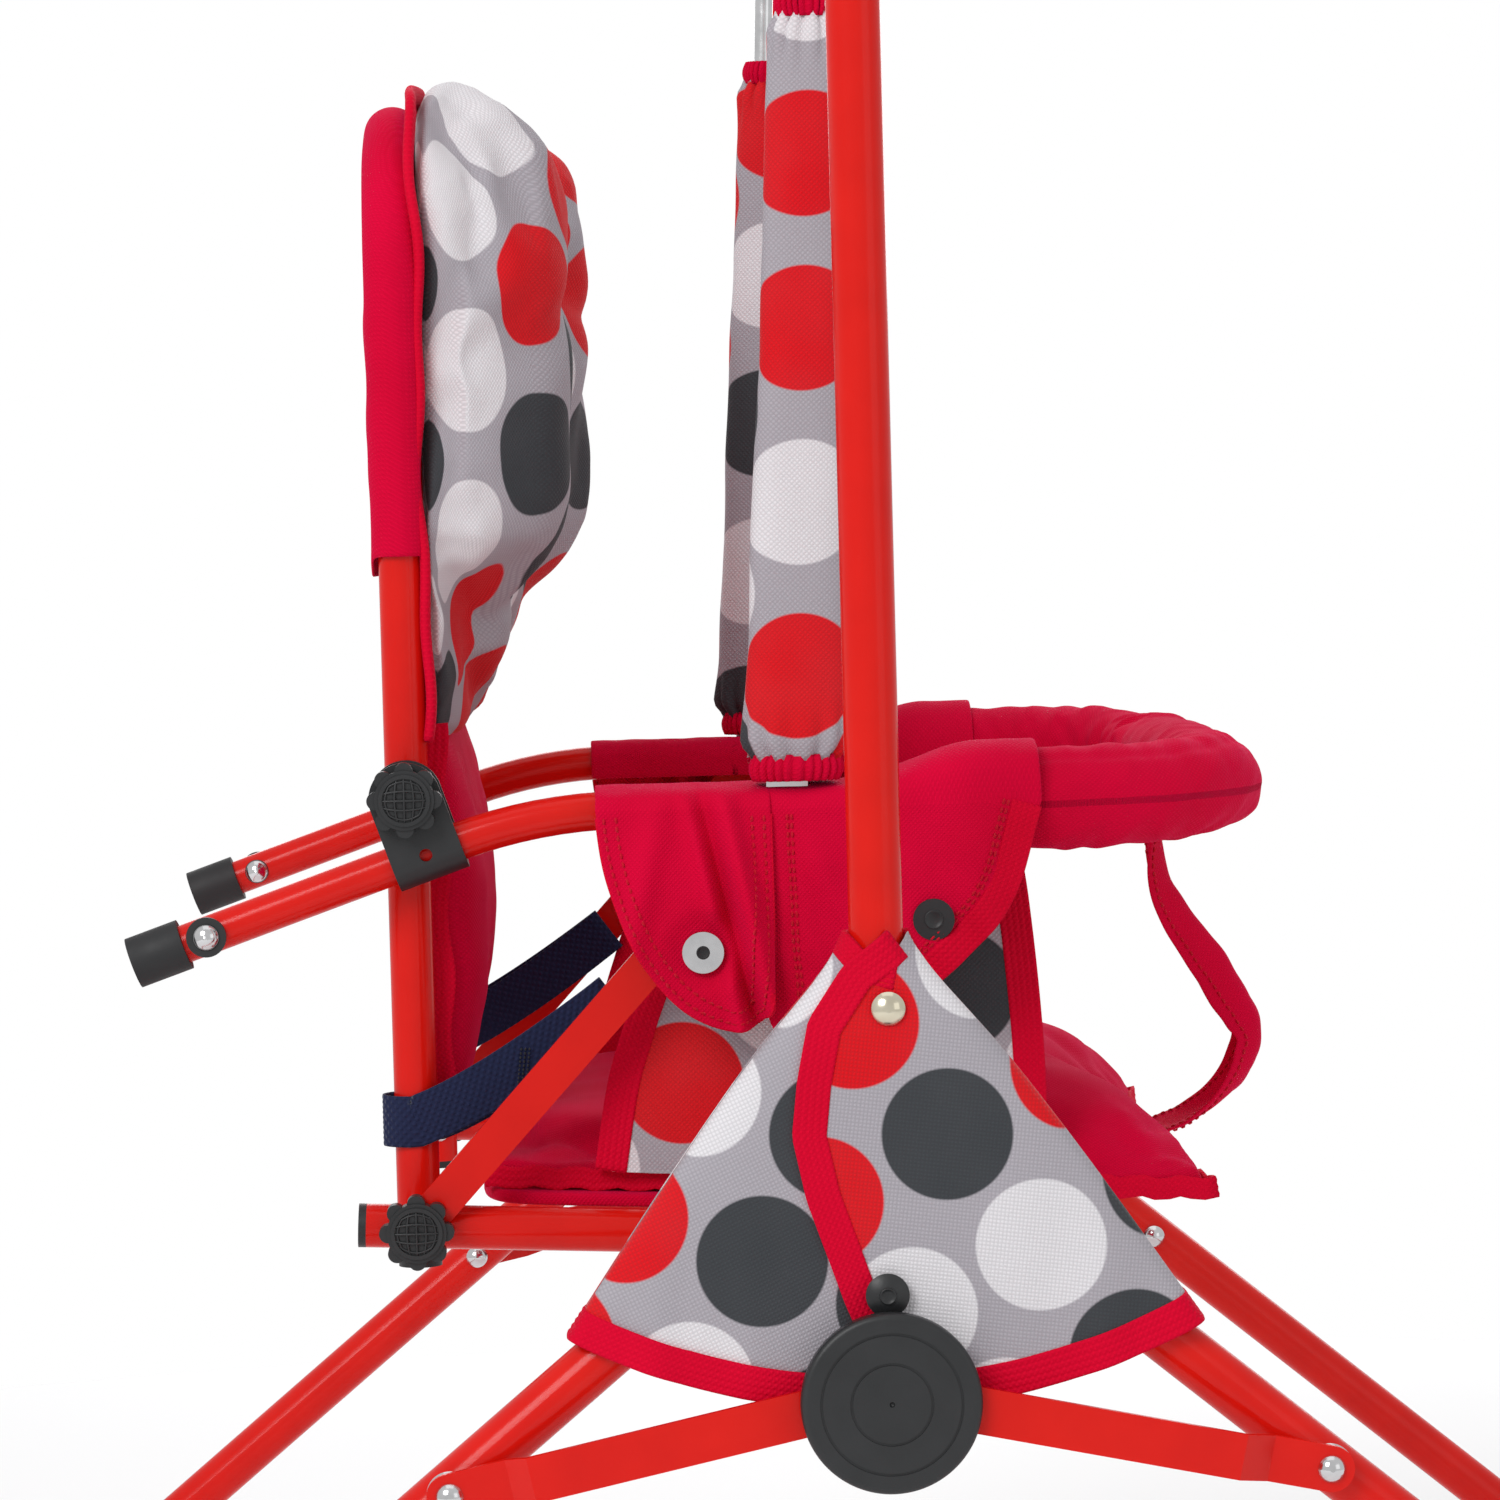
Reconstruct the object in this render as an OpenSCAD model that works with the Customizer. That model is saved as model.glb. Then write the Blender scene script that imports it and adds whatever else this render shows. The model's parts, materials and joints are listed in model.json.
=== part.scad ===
// Folding indoor baby swing: an arched tube stand on two folding leg frames, and a
// padded seat with a reclining back, hung from the arch on two sleeved rods.
// +X is the way the child faces, +Y is the child's left, +Z is up, and the origin is
// on the floor under the middle of the stand. All sizes are in millimetres.

/* [Stand] */
// Distance between the two upright tubes, axis to axis
stand_w = 600; // [500:10:720]
// Height of the top bar's axis above the floor
arch_z = 1190; // [1000:10:1430]
// Bend radius of the arch at its two top corners
arch_r = 70; // [50:5:100]
// Half the length of the top bar between the two upright tubes
bar_half = 215; // [200:5:225]
// Outer diameter of the stand's tubes
tube_d = 20; // [16:1:24]
// Wall of every steel tube
wall = 1.2; // [1:0.1:1.5]

/* [Legs] */
// Height of the two sliding hubs above the floor, stand open
hub_z = 273; // [262:1:284]
// Diameter of the round hub cap
hub_d = 66; // [62:1:80]
// How far the hubs slide up when the legs fold
hub_travel = 56; // [48:1:60]
// Distance of each leg pivot from the upright tube's axis
leg_x = 25; // [23:1:30]
// Height of the leg pivots above the floor
leg_z = 354; // [345:1:365]
// Slope of the open legs below the horizontal
leg_angle = 39.6; // [34:0.1:46]
// Bend radius at the floor corners of the leg frames
leg_r = 60; // [40:5:100]
// Distance of each link rivet from the upright tube's axis
rivet_x = 161; // [140:1:190]
// Distance of each link's inner end from the upright tube's axis
link_in = 12; // [11:0.5:14]
// Width of a link bar
link_w = 17; // [14:0.5:20]
// Thickness of a link bar
link_t = 2.5; // [2:0.1:3]
// Rubber under the floor bars
foot_t = 5; // [3:0.5:8]
// Length of a rubber foot along the floor bar
foot_l = 44; // [30:1:60]

/* [Armrest] */
// Width of the armrest tube, axis to axis
arm_w = 344; // [300:2:410]
// Height of the armrest tube's level part
arm_z = 481; // [470:1:500]
// Outer diameter of the armrest tube
arm_d = 15; // [12.5:0.5:18]
// Reach of the armrest's front bar from the arch
arm_front = 147; // [125:1:176]
// Bend radius of the armrest's front corners
arm_r = 84; // [65:1:104]
// Where the armrest starts to bend down towards its rear end
arm_bend_x = -90; // [-100:1:-80]
// Slope of the armrest's rear ends
arm_slope = 19; // [16:0.5:22]
// Length of the straight rear ends
arm_rear = 129; // [115:1:150]
// Diameter of the padded front bumper
pad_d = 44; // [36:1:52]
// How far the bumper pad runs back from the front corners
pad_run = 3; // [1:1:20]

/* [Hangers] */
// Diameter of the two hanger rods
hanger_d = 8; // [7:0.5:10]
// Where the hangers are bolted to the armrest
hanger_x = -27; // [-35:1:-20]
// Drop of the swing pivot under the top bar's axis
pivot_drop = 26; // [24:1:35]
// Width of the fabric sleeve at its foot
sleeve_w = 42; // [34:1:50]
// Width of the fabric sleeve at its top
sleeve_top_w = 26; // [22:1:32]
// Height of the sleeve's top end above the floor
sleeve_z = 800; // [700:5:900]

/* [Seat] */
// Outer diameter of the seat and backrest tubes
seat_d = 17; // [14:0.5:20]
// Where the seat, the backrest and the struts meet, along the swing
hinge_x = -174; // [-185:1:-165]
// Height of that hinge above the floor
hinge_z = 321; // [312:1:330]
// Slope of the seat tube down towards the front
seat_tilt = 2.8; // [0:0.1:4]
// Reach of the seat tube's front bar from the hinge
seat_l = 272; // [240:1:290]
// Width of a strut bar
strut_w = 15; // [12:0.5:18]
// Width of the seat cushion
cushion_w = 312; // [270:2:318]
// Height of the cushion's crest above the floor
cushion_top = 366; // [355:1:375]

/* [Backrest] */
// Width of the backrest tube, axis to axis
back_w = 304; // [280:2:306]
// Height of the top of the backrest tube's axis above the floor
back_z = 742; // [650:5:850]
// Bend radius of the backrest tube's top corners
back_r = 70; // [50:5:90]
// Height of the clamp bolts above the floor
clamp_z = 488; // [480:1:495]
// Width of a clamp along the armrest
clamp_w = 28; // [24:1:34]
// Diameter of a star knob over its lobes
knob_d = 29; // [24:1:32]
// Thickness of the backrest cushion at its middle
back_t = 40; // [30:1:50]
// How far the cushion's side wings stand in front of it
wing_t = 14; // [8:1:20]

/* [Skirts] */
// Half the width of a leg skirt at its hem
skirt_half = 116; // [100:1:125]
// Height of the skirt's collar above the floor
skirt_z = 442; // [430:1:460]
// Thickness of the fabric panels
cloth = 2; // [1:0.5:3]

/* [Hidden] */
$fn = 64;
eps = 0.01;

tube_red = "firebrick";
fabric_red = "crimson";
dotted_grey = "lightslategray";
plastic_black = "#2a2c2e";
steel = "silver";
navy = "midnightblue";

// Clearances
run_gap = 0.05;      // a pin in its bore, all round
slide_gap = 0.08;    // a sleeve that slides on its tube, all round
play = 0.3;          // between pieces that pass each other
snug = 0.1;          // between fixed pieces

post_y = stand_w / 2;
post_foot = hub_z - 17;
stub_l = post_y - arch_r - bar_half;
screw_y = bar_half + stub_l - 4;
screw_d = 5;
pin_d = 6;           // every rivet and bolt in the swing and the legs

// Distances outwards from the upright tube's axis, one layer after another
plate_t = 2.5;
plate_o = tube_d / 2 + play;
skirt_o = plate_o + plate_t + 1.4;
flange_o = skirt_o + cloth + 1.4;
flange_t = 2.3;
rear_link_o = flange_o + flange_t + play;
front_link_o = rear_link_o + link_t + play;
cap_o = front_link_o + link_t + play;
cap_t = 6;
washer_t = 3.5;
link_leg_o = tube_d / 2 + washer_t;

// Leg frames
bar_z = foot_t + tube_d / 2;
leg_l = (leg_z - bar_z) / sin(leg_angle);
leg_end = tube_d * 0.45;
rivet_l = (rivet_x - leg_x) / cos(leg_angle);
rivet_z = leg_z - rivet_l * sin(leg_angle);
foot_x = leg_x + leg_l * cos(leg_angle);
foot_y = post_y - leg_r - foot_l / 2 - 10;
link_l = norm([rivet_x - link_in, hub_z - rivet_z]);
link_tilt = atan2(hub_z - rivet_z, rivet_x - link_in);

// Hub
hub_body_d = tube_d + 7;
stem_w = 12;
stem_h = 26;
flange_d = hub_d - 8;
hub_snap_up = hub_d / 2 + 5;
snap_d = 16;

// Armrest and what is fixed to it
arm_y = arm_w / 2;
arm_bend_r = 200;
arm_rear_x = arm_bend_x - arm_bend_r * sin(arm_slope);
arm_rear_z = arm_z - arm_bend_r * (1 - cos(arm_slope));
arm_cap_l = 21;
stop_s = arm_rear - 26.5;
pad_x = arm_front - arm_r - pad_run;
strut_t = 3;
strut_y = arm_y + max(arm_d, seat_d) / 2 + play;
hanger_t = 3;
hanger_y = strut_y + strut_t + hanger_t / 2;
bolt_head = 4;

// Swing pivot
pivot_z = arch_z - pivot_drop;
pivot_d = 8;
eye_d = 18;
eye_t = 8;
bracket_w = max(tube_d, eye_d) + 10;
hanger_l = norm([hanger_x, pivot_z - arm_z]);
hanger_lean = atan2(-hanger_x, pivot_z - arm_z);

// Backrest, clamps and knobs
back_y = back_w / 2;
back_foot = hinge_z - 15;
strap_t = 3;
clamp_r = arm_d / 2 + slide_gap;
clamp_s = (arm_rear_x - hinge_x) * cos(arm_slope) - (clamp_z - arm_rear_z) * sin(arm_slope);
clamp_up = (clamp_z - arm_rear_z) * cos(arm_slope) + (arm_rear_x - hinge_x) * sin(arm_slope);
knob_t = 9;
knob_y = strut_y + strut_t + play;
clamp_knob_y = arm_y + clamp_r + strap_t + play;

// Fabric covers
cover_y = arm_y - clamp_r - strap_t - 0.2;
front_flap_y = max(arm_y + pad_d / 2, hanger_y + hanger_t / 2 + bolt_head) + 0.6;
rear_flap_y = front_flap_y + cloth + 0.5;
flap_top = arm_z + arm_d / 2 + 0.5;
board_t = 4;

function lerp(a, b, t) = a + (b - a) * t;
// Points from a to b on a shallow curve that bulges to the left of the way from a to b
function bulged(a, b, bulge, n) = [for (i = [0:n])
    let (t = i / n, d = (b - a) / norm(b - a))
    lerp(a, b, t) + 4 * bulge * t * (1 - t) * [-d[1], d[0]]];
// Height of the seat tube's top at x
function seat_top(x) = hinge_z + seat_d / 2 / cos(seat_tilt) - (x - hinge_x) * tan(seat_tilt);

// The left side as it is for s = 1, mirrored to the right for s = -1
module side(s) {
    if (s > 0) children();
    else mirror([0, 1, 0]) children();
}

module pair() {
    for (s = [-1, 1]) side(s) children();
}

// A round bar along +Y from y0
module rod_y(d, y0, len) {
    translate([0, y0, 0]) rotate([-90, 0, 0]) cylinder(d = d, h = len);
}

// An outline in the XZ plane, t thick along +Y from y0
module slab(y0, t) {
    translate([0, y0 + t, 0]) rotate([90, 0, 0]) linear_extrude(t) children();
}

// An outline in the YZ plane, pushed along +X from x0 for len
module along_x(x0, len) {
    translate([x0, 0, 0]) rotate([90, 0, 90]) linear_extrude(len) children();
}

module ring(d, t = wall) {
    difference() {
        circle(d = d);
        circle(d = d - 2 * t);
    }
}

// A bent tube in the XY plane, from +X round towards +Y
module bend(r, a, d, t = wall) {
    rotate_extrude(angle = a) translate([r, 0]) ring(d, t);
}

// A U-shaped tube in the XY plane, open towards -X, its front bar at x = reach
module u_tube(reach, half, r, d, t = wall) {
    pair() {
        translate([0, half, 0]) rotate([0, 90, 0]) linear_extrude(reach - r) ring(d, t);
        translate([reach - r, half - r, 0]) bend(r, 90, d, t);
        translate([reach, 0, 0]) rotate([-90, 0, 0]) linear_extrude(half - r) ring(d, t);
    }
}

// A flat bar outline with round ends, from the origin to [len, 0]
module bar_outline(len, w) {
    translate([0, -w / 2]) square([len, w]);
    circle(d = w);
    translate([len, 0]) circle(d = w);
}

// A domed head, its flat side at y0, rising outwards along +Y
module dome_y(d, y0, h) {
    translate([0, y0, 0]) rotate([-90, 0, 0]) rotate_extrude()
        intersection() {
            translate([0, h - (d * d / 4 + h * h) / (2 * h)]) circle(r = (d * d / 4 + h * h) / (2 * h));
            square([d, h]);
        }
}

// A rivet along Y through something from y0 to y1, with a domed head at each end
module rivet_y(y0, y1, d, head_d, head_h) {
    rod_y(d, y0 - eps, y1 - y0 + 2 * eps);
    dome_y(head_d, y1, head_h);
    mirror([0, 1, 0]) dome_y(head_d, -y0, head_h);
}

// Places its children where the leg pivot is, with +X down along the open leg
module leg_frame_place(front) {
    mirror([front ? 0 : 1, 0, 0])
        translate([leg_x, 0, leg_z]) rotate([0, leg_angle, 0]) children();
}

// ---- stand ----

module post(s) {
    color(tube_red) side(s) difference() {
        union() {
            translate([0, post_y, post_foot]) linear_extrude(arch_z - arch_r - post_foot) ring(tube_d);
            translate([0, post_y - arch_r, arch_z - arch_r]) rotate([90, 0, 90])
                bend(arch_r, 90, tube_d);
            translate([0, bar_half, arch_z]) rotate([-90, 0, 0])
                linear_extrude(stub_l) ring(tube_d);
        }
        translate([0, screw_y, arch_z - tube_d]) cylinder(d = screw_d + 2 * snug, h = 2 * tube_d);
        for (z = bracket_bolts()) translate([0, post_y - tube_d, z])
            rod_y(pin_d + 2 * snug, 0, 2 * tube_d);
    }
}

function bracket_bolts() = [leg_z + 20, leg_z + 40];

module top_bar() {
    spigot_d = tube_d - 2 * wall - 2 * snug;
    shoulder_l = 6;
    color(tube_red) difference() {
        union() {
            translate([0, -bar_half + snug, arch_z]) rotate([-90, 0, 0])
                linear_extrude(2 * (bar_half - snug)) ring(tube_d);
            pair() translate([0, bar_half - 2 * shoulder_l, arch_z]) rotate([-90, 0, 0])
                linear_extrude(2 * shoulder_l + stub_l) ring(spigot_d);
            pair() translate([0, bar_half - 2 * shoulder_l, arch_z]) rotate([-90, 0, 0])
                linear_extrude(shoulder_l) ring(tube_d - wall, wall + 1);
        }
        pair() translate([0, screw_y, arch_z - tube_d]) cylinder(d = screw_d + 2 * snug, h = 2 * tube_d);
    }
}

module top_bar_screws() {
    color(steel) pair() translate([0, screw_y, arch_z]) rotate([90, 0, 0])
        rivet_y(-tube_d / 2, tube_d / 2, screw_d, 9, 3);
}

module hanger_brackets() {
    cheek_t = 3;
    gap = eye_t + 1;
    color(plastic_black) pair() translate([0, hanger_y, arch_z]) difference() {
        union() {
            for (o = [-gap / 2 - cheek_t, gap / 2]) slab(o, cheek_t)
                rotate(-90) bar_outline(pivot_drop, bracket_w);
            rod_y(tube_d + 6, -gap / 2 - cheek_t, gap + 2 * cheek_t);
        }
        rod_y(tube_d + 2 * snug, -50, 100);
        translate([0, 0, -pivot_drop]) {
            rod_y(pivot_d + 2 * snug, -50, 100);
            rod_y(eye_d + 4, -gap / 2, gap);
        }
    }
}

module hanger_bolts() {
    half = eye_t / 2 + 0.5 + 3;
    color(steel) pair() translate([0, hanger_y, pivot_z]) {
        rivet_y(-half, half, pivot_d, 15, bolt_head);
    }
}

module post_plugs() {
    color(plastic_black) pair() translate([0, post_y, post_foot]) {
        translate([0, 0, -3]) cylinder(d = tube_d, h = 3);
        translate([0, 0, -eps]) cylinder(d = tube_d - 2 * wall - 2 * snug, h = 10);
    }
}

// Two plates that carry the leg pivots, joined above by a collar round the upright tube
module leg_brackets() {
    w = 24;
    collar_z0 = leg_z + 38;
    color(tube_red) pair() translate([0, post_y, 0]) difference() {
        union() {
            for (o = [-plate_o - plate_t, plate_o]) slab(o, plate_t) {
                translate([-leg_x, leg_z]) bar_outline(2 * leg_x, w);
                translate([-w / 2, leg_z]) square([w, 56]);
            }
            translate([0, 0, collar_z0]) cylinder(r = plate_o + plate_t, h = 18);
        }
        translate([0, 0, collar_z0 - 60]) cylinder(d = tube_d + 2 * snug, h = 100);
        for (x = [-leg_x, leg_x]) translate([x, -30, leg_z]) rod_y(pin_d + 2 * run_gap, 0, 60);
        for (z = bracket_bolts()) translate([0, -30, z]) rod_y(pin_d + 2 * snug, 0, 60);
    }
}

module leg_rivets() {
    o = plate_o + plate_t;
    color(steel) pair() translate([0, post_y, 0]) {
        for (x = [-leg_x, leg_x]) translate([x, 0, leg_z]) rivet_y(-o, o, pin_d, 10, 1.2);
        for (z = bracket_bolts()) translate([0, 0, z]) rivet_y(-o, o, pin_d, 10, 1.2);
    }
}

// ---- leg frames ----

module leg_frame(front) {
    color(tube_red) leg_frame_place(front) difference() {
        translate([-leg_end, 0, 0]) u_tube(leg_l + leg_end, post_y, leg_r, tube_d);
        for (x = [0, rivet_l]) translate([x, -stand_w, 0]) rod_y(pin_d + 2 * run_gap, 0, 2 * stand_w);
    }
}

module feet(front) {
    w = tube_d + 8;
    color(plastic_black) mirror([front ? 0 : 1, 0, 0]) pair()
        translate([foot_x, foot_y, 0]) difference() {
            slab(-foot_l / 2, foot_l) {
                translate([-w / 2, 0]) square([w, bar_z]);
                translate([0, bar_z]) circle(d = w);
            }
            translate([0, 0, bar_z]) rod_y(tube_d + 2 * snug, -foot_l, 2 * foot_l);
            translate([-tube_d * 0.4, -foot_l, bar_z]) cube([tube_d * 0.8, 2 * foot_l, w]);
        }
}

// Domed rivets through the legs with a cup washer under each link
module link_rivets(front) {
    r = tube_d / 2;
    color(steel) mirror([front ? 0 : 1, 0, 0]) pair() translate([rivet_x, post_y, rivet_z]) {
        rivet_y(-r - 0.5, link_leg_o + link_t + play, pin_d, 10, 3);
        translate([0, r, 0]) rotate([-90, 0, 0]) difference() {
            cylinder(d1 = 17, d2 = 12, h = washer_t - play);
            translate([0, 0, -1]) cylinder(d = pin_d + 2 * snug, h = washer_t + 2);
        }
    }
}

// A link bar, stepped outwards so that its inner end passes in front of the skirt
module link(front, s) {
    high = front ? front_link_o : rear_link_o;
    step0 = link_w / 2 + 14;
    step1 = step0 + (high - link_leg_o) * 1.2;
    end = link_l + link_w;
    color(tube_red) side(s) mirror([front ? 1 : 0, 0, 0])
        translate([-rivet_x, post_y, rivet_z]) rotate([0, -link_tilt, 0]) difference() {
            intersection() {
                slab(0, 60) bar_outline(link_l, link_w);
                translate([0, 0, -link_w]) linear_extrude(2 * link_w) polygon([
                    [-link_w, link_leg_o], [step0, link_leg_o], [step1, high], [end, high],
                    [end, high + link_t], [step1, high + link_t],
                    [step0, link_leg_o + link_t], [-link_w, link_leg_o + link_t]]);
            }
            rod_y(pin_d + 2 * run_gap, 0, 60);
            translate([link_l, 0, 0]) rod_y(pin_d + 2 * run_gap, 0, 60);
        }
}

// ---- hubs ----

// A block that slides on the upright tube, with a stem out to the flange that the
// links lie against and a rim that carries the cap
module hub(s) {
    rim_t = 5;
    color(plastic_black) side(s) translate([0, post_y, hub_z]) difference() {
        union() {
            translate([0, 0, -stem_h / 2]) cylinder(d = hub_body_d, h = stem_h);
            translate([-stem_w / 2, 0, -stem_h / 2]) cube([stem_w, flange_o + 1, stem_h]);
            rod_y(flange_d, flange_o, flange_t);
            slab(flange_o, flange_t) translate([-5, 0]) square([10, hub_snap_up]);
            intersection() {
                difference() {
                    rod_y(flange_d, flange_o, cap_o - flange_o);
                    rod_y(flange_d - 2 * rim_t, flange_o - 1, cap_o);
                }
                translate([-flange_d / 2, 0, flange_d * 0.3]) cube([flange_d, 60, flange_d]);
            }
        }
        translate([0, 0, -stem_h]) cylinder(d = tube_d + 2 * slide_gap, h = 2 * stem_h);
    }
}

module hub_cap(s) {
    r = hub_d / 2;
    groove = 0.6;
    color(plastic_black) side(s) translate([0, post_y + cap_o, hub_z]) rotate([-90, 0, 0])
        rotate_extrude() difference() {
            union() {
                square([r - 2.5, cap_t]);
                square([r, cap_t - 2.5]);
                translate([r - 2.5, cap_t - 2.5]) circle(r = 2.5);
            }
            for (g = [r * 0.43, r * 0.76]) translate([g, cap_t - groove]) square([1, 1]);
            translate([0, cap_t]) circle(d = 2);
        }
}

module hub_snap(s) {
    color(plastic_black) side(s) translate([0, post_y + flange_o + flange_t, hub_z + hub_snap_up])
        difference() {
            dome_y(snap_d, 0, 2.6);
            rod_y(4, 1.6, 5);
        }
}

// ---- leg skirts ----

// Upper edge of the skirt's side, from the collar to the hem's corner over the leg
function skirt_corner() = [skirt_half,
    leg_z - (skirt_half - leg_x) * tan(leg_angle) + (tube_d / 2 + cloth + 1) / cos(leg_angle)];
function skirt_side(inset) = bulged([14 - inset, skirt_z - 8 - inset],
    skirt_corner() - [0, inset], 5, 8);

module skirt_outline(inset) {
    half = concat([[12 - inset, skirt_z - inset]], skirt_side(inset));
    hem_z = skirt_corner()[1] - 2 - inset;
    hem = bulged([skirt_half, hem_z], [-skirt_half, hem_z], 26, 16);
    left = [for (i = [len(half) - 1:-1:0]) [-half[i][0], half[i][1]]];
    polygon(concat(half, hem, left));
}

// A flat bell of dotted fabric over the leg pivots, open below, slit for the hub's stem
module skirt(s) {
    out = skirt_o + cloth;
    slit_top = hub_z + hub_travel + stem_h / 2 + 1;
    hem_drop = 40;
    color(dotted_grey) side(s) translate([0, post_y, 0]) difference() {
        slab(-out, 2 * out) skirt_outline(0);
        slab(-skirt_o, 2 * skirt_o) skirt_outline(cloth * 1.3);
        translate([-skirt_half - 20, -skirt_o, hub_z - hem_drop])
            cube([2 * skirt_half + 40, 2 * skirt_o, skirt_corner()[1] - 4 - hub_z + hem_drop]);
        translate([0, 0, skirt_z - 30]) cylinder(d = tube_d + 2 * play, h = 60);
        translate([-stem_w / 2 - 0.5, 0, hub_z - hem_drop])
            cube([stem_w + 1, 2 * out, slit_top - hub_z + hem_drop]);
    }
}

module skirt_snaps() {
    color("darkkhaki") pair() translate([3, post_y, skirt_z - 27])
        dome_y(12.4, skirt_o + cloth, 3);
}

// ---- hangers ----

module hanger(s) {
    tab_l = 30;
    color(steel) translate([0, s * hanger_y, pivot_z]) rotate([0, hanger_lean, 0]) difference() {
        union() {
            rod_y(eye_d, -eye_t / 2, eye_t);
            translate([0, 0, -hanger_l + tab_l - 4]) cylinder(d = hanger_d, h = hanger_l - tab_l);
            slab(-hanger_t / 2, hanger_t) translate([0, -hanger_l]) rotate(90) bar_outline(tab_l, 16);
        }
        rod_y(pivot_d + 2 * run_gap, -20, 40);
        translate([0, 0, -hanger_l]) rod_y(pin_d + 2 * snug, -20, 40);
    }
}

module sleeve(s) {
    foot_z = flap_top + 7;
    foot_len = (pivot_z - foot_z) / cos(hanger_lean);
    top_len = (pivot_z - sleeve_z) / cos(hanger_lean);
    color(dotted_grey) side(s) translate([0, hanger_y, pivot_z]) rotate([0, hanger_lean, 0])
        difference() {
            hull() {
                translate([0, 0, -foot_len]) linear_extrude(1) sleeve_section(sleeve_w, 19);
                translate([0, 0, -top_len]) linear_extrude(1) sleeve_section(sleeve_top_w, 16);
            }
            translate([0, 0, -hanger_l]) cylinder(d = hanger_d + 2 * play, h = hanger_l);
            translate([0, 0, -hanger_l]) slab(-hanger_t / 2 - play, hanger_t + 2 * play)
                rotate(90) bar_outline(31, 17);
        }
}

module sleeve_section(w, t) {
    for (x = [-1, 1]) translate([x * (w - t) / 2, 0]) circle(d = t, $fn = 32);
}

// ---- armrest ----

// Places its children on the rear straight of the left armrest, s from the bend,
// with +X down along the tube and +Z square to it
module on_arm(s_along) {
    translate([arm_rear_x, arm_y, arm_rear_z]) rotate([0, 0, 180]) rotate([0, arm_slope, 0])
        translate([s_along, 0, 0]) rotate([0, 0, 180]) mirror([1, 0, 0]) children();
}

module armrest_tube() {
    color(tube_red) difference() {
        union() {
            translate([arm_bend_x, 0, arm_z]) u_tube(arm_front - arm_bend_x, arm_y, arm_r, arm_d);
            pair() translate([arm_bend_x, arm_y, arm_z - arm_bend_r]) rotate([90, -90, 0])
                bend(arm_bend_r, arm_slope, arm_d);
            pair() translate([arm_bend_x, arm_y, arm_z - arm_bend_r]) rotate([0, -arm_slope, 0])
                translate([-eps, 0, arm_bend_r]) rotate([0, -90, 0]) linear_extrude(arm_rear) ring(arm_d);
        }
        pair() on_arm(stop_s) rod_y(pin_d + 2 * snug, -20, 40);
        translate([hanger_x, -arm_w, arm_z]) rod_y(pin_d + 2 * snug, 0, 2 * arm_w);
    }
}

module armrest_caps() {
    socket_l = 17;
    color(plastic_black) pair() on_arm(arm_rear - socket_l) difference() {
        rotate([0, 90, 0]) cylinder(d = arm_d + 5, h = arm_cap_l);
        translate([-1, 0, 0]) rotate([0, 90, 0])
            cylinder(d = arm_d + 2 * snug, h = socket_l + 1 + eps);
    }
}

// Stop bolts with a washer that keep the clamps on the armrest
module armrest_stops() {
    r = arm_d / 2;
    color(steel) pair() on_arm(stop_s) {
        rivet_y(-r, r + 2, pin_d, 10.5, 3.5);
        translate([0, r, 0]) rotate([-90, 0, 0]) difference() {
            cylinder(d = 15.5, h = 2 - eps);
            translate([0, 0, -1]) cylinder(d = pin_d + 2 * snug, h = 4);
        }
    }
}

module bumper_pad() {
    color(fabric_red) translate([pad_x, 0, arm_z])
        u_tube(arm_front - pad_x, arm_y, arm_r, pad_d, (pad_d - arm_d) / 2 - play);
}

// ---- fabric sides ----

module side_panels() {
    top = arm_z - arm_d / 2;
    low = seat_top(0) + 16;
    color(dotted_grey) pair() slab(cover_y, cloth) polygon([
        [-82, top], [-82, top - 52], [-97, low + 40], [-104, low],
        [72, low], [72, low + 28], [70, low + 66], [66, arm_z - pad_d / 2 - 2],
        [pad_x - 3, arm_z - pad_d / 2 - 2], [pad_x - 3, top]]);
}

// Cloth laid over the armrest from inside at y0, hanging down outside at y1
module hook_section(y0, y1, top) {
    polygon([[y0, arm_z - arm_d / 2 + 0.3], [y0, top - 3], [y0 + 4, top + cloth], [y1 - 12, top + cloth],
        [y1 + cloth, top - 6], [y1 + cloth, hinge_z], [y1, hinge_z], [y1, top - 7],
        [y1 - 13, top], [y0 + 5, top], [y0 + cloth, top - 4], [y0 + cloth, arm_z - arm_d / 2 + 0.3]]);
}

module rear_flaps() {
    round_r = 26;
    color(fabric_red) pair() intersection() {
        along_x(-110, 80) hook_section(cover_y, rear_flap_y, flap_top);
        slab(0, arm_w) hull() {
            translate([-100, flap_top - 30]) square([62, 34]);
            translate([-38 - round_r, 395 + round_r]) circle(r = round_r, $fn = 32);
        }
    }
}

module front_flaps() {
    top = arm_z + pad_d / 2 + 0.8;
    color(fabric_red) pair() intersection() {
        along_x(-60, 150) hook_section(arm_y - pad_d / 2 - cloth - 0.6, front_flap_y, top);
        slab(0, arm_w) polygon(concat([[76, top + 4], [74, top - 20]],
            bulged([68, arm_z - 21], [-30, arm_z - 91], -12, 8),
            [[-36, arm_z - 60], [-6, arm_z + 6], [20, arm_z + 18], [44, top + 4]]));
    }
}

// A flat ring-shaped snap on each rear flap
module ring_snaps() {
    color(steel) pair() translate([-61, rear_flap_y + cloth, arm_z - 54]) difference() {
        rod_y(snap_d, 0, 1.6);
        rod_y(4.5, 0.8, 5);
    }
}

module button_snaps() {
    color(plastic_black) pair() translate([28, front_flap_y + cloth, arm_z - 44]) difference() {
        rod_y(snap_d, 0, 2);
        rod_y(4.5, 1, 5);
    }
}

// ---- seat ----

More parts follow.
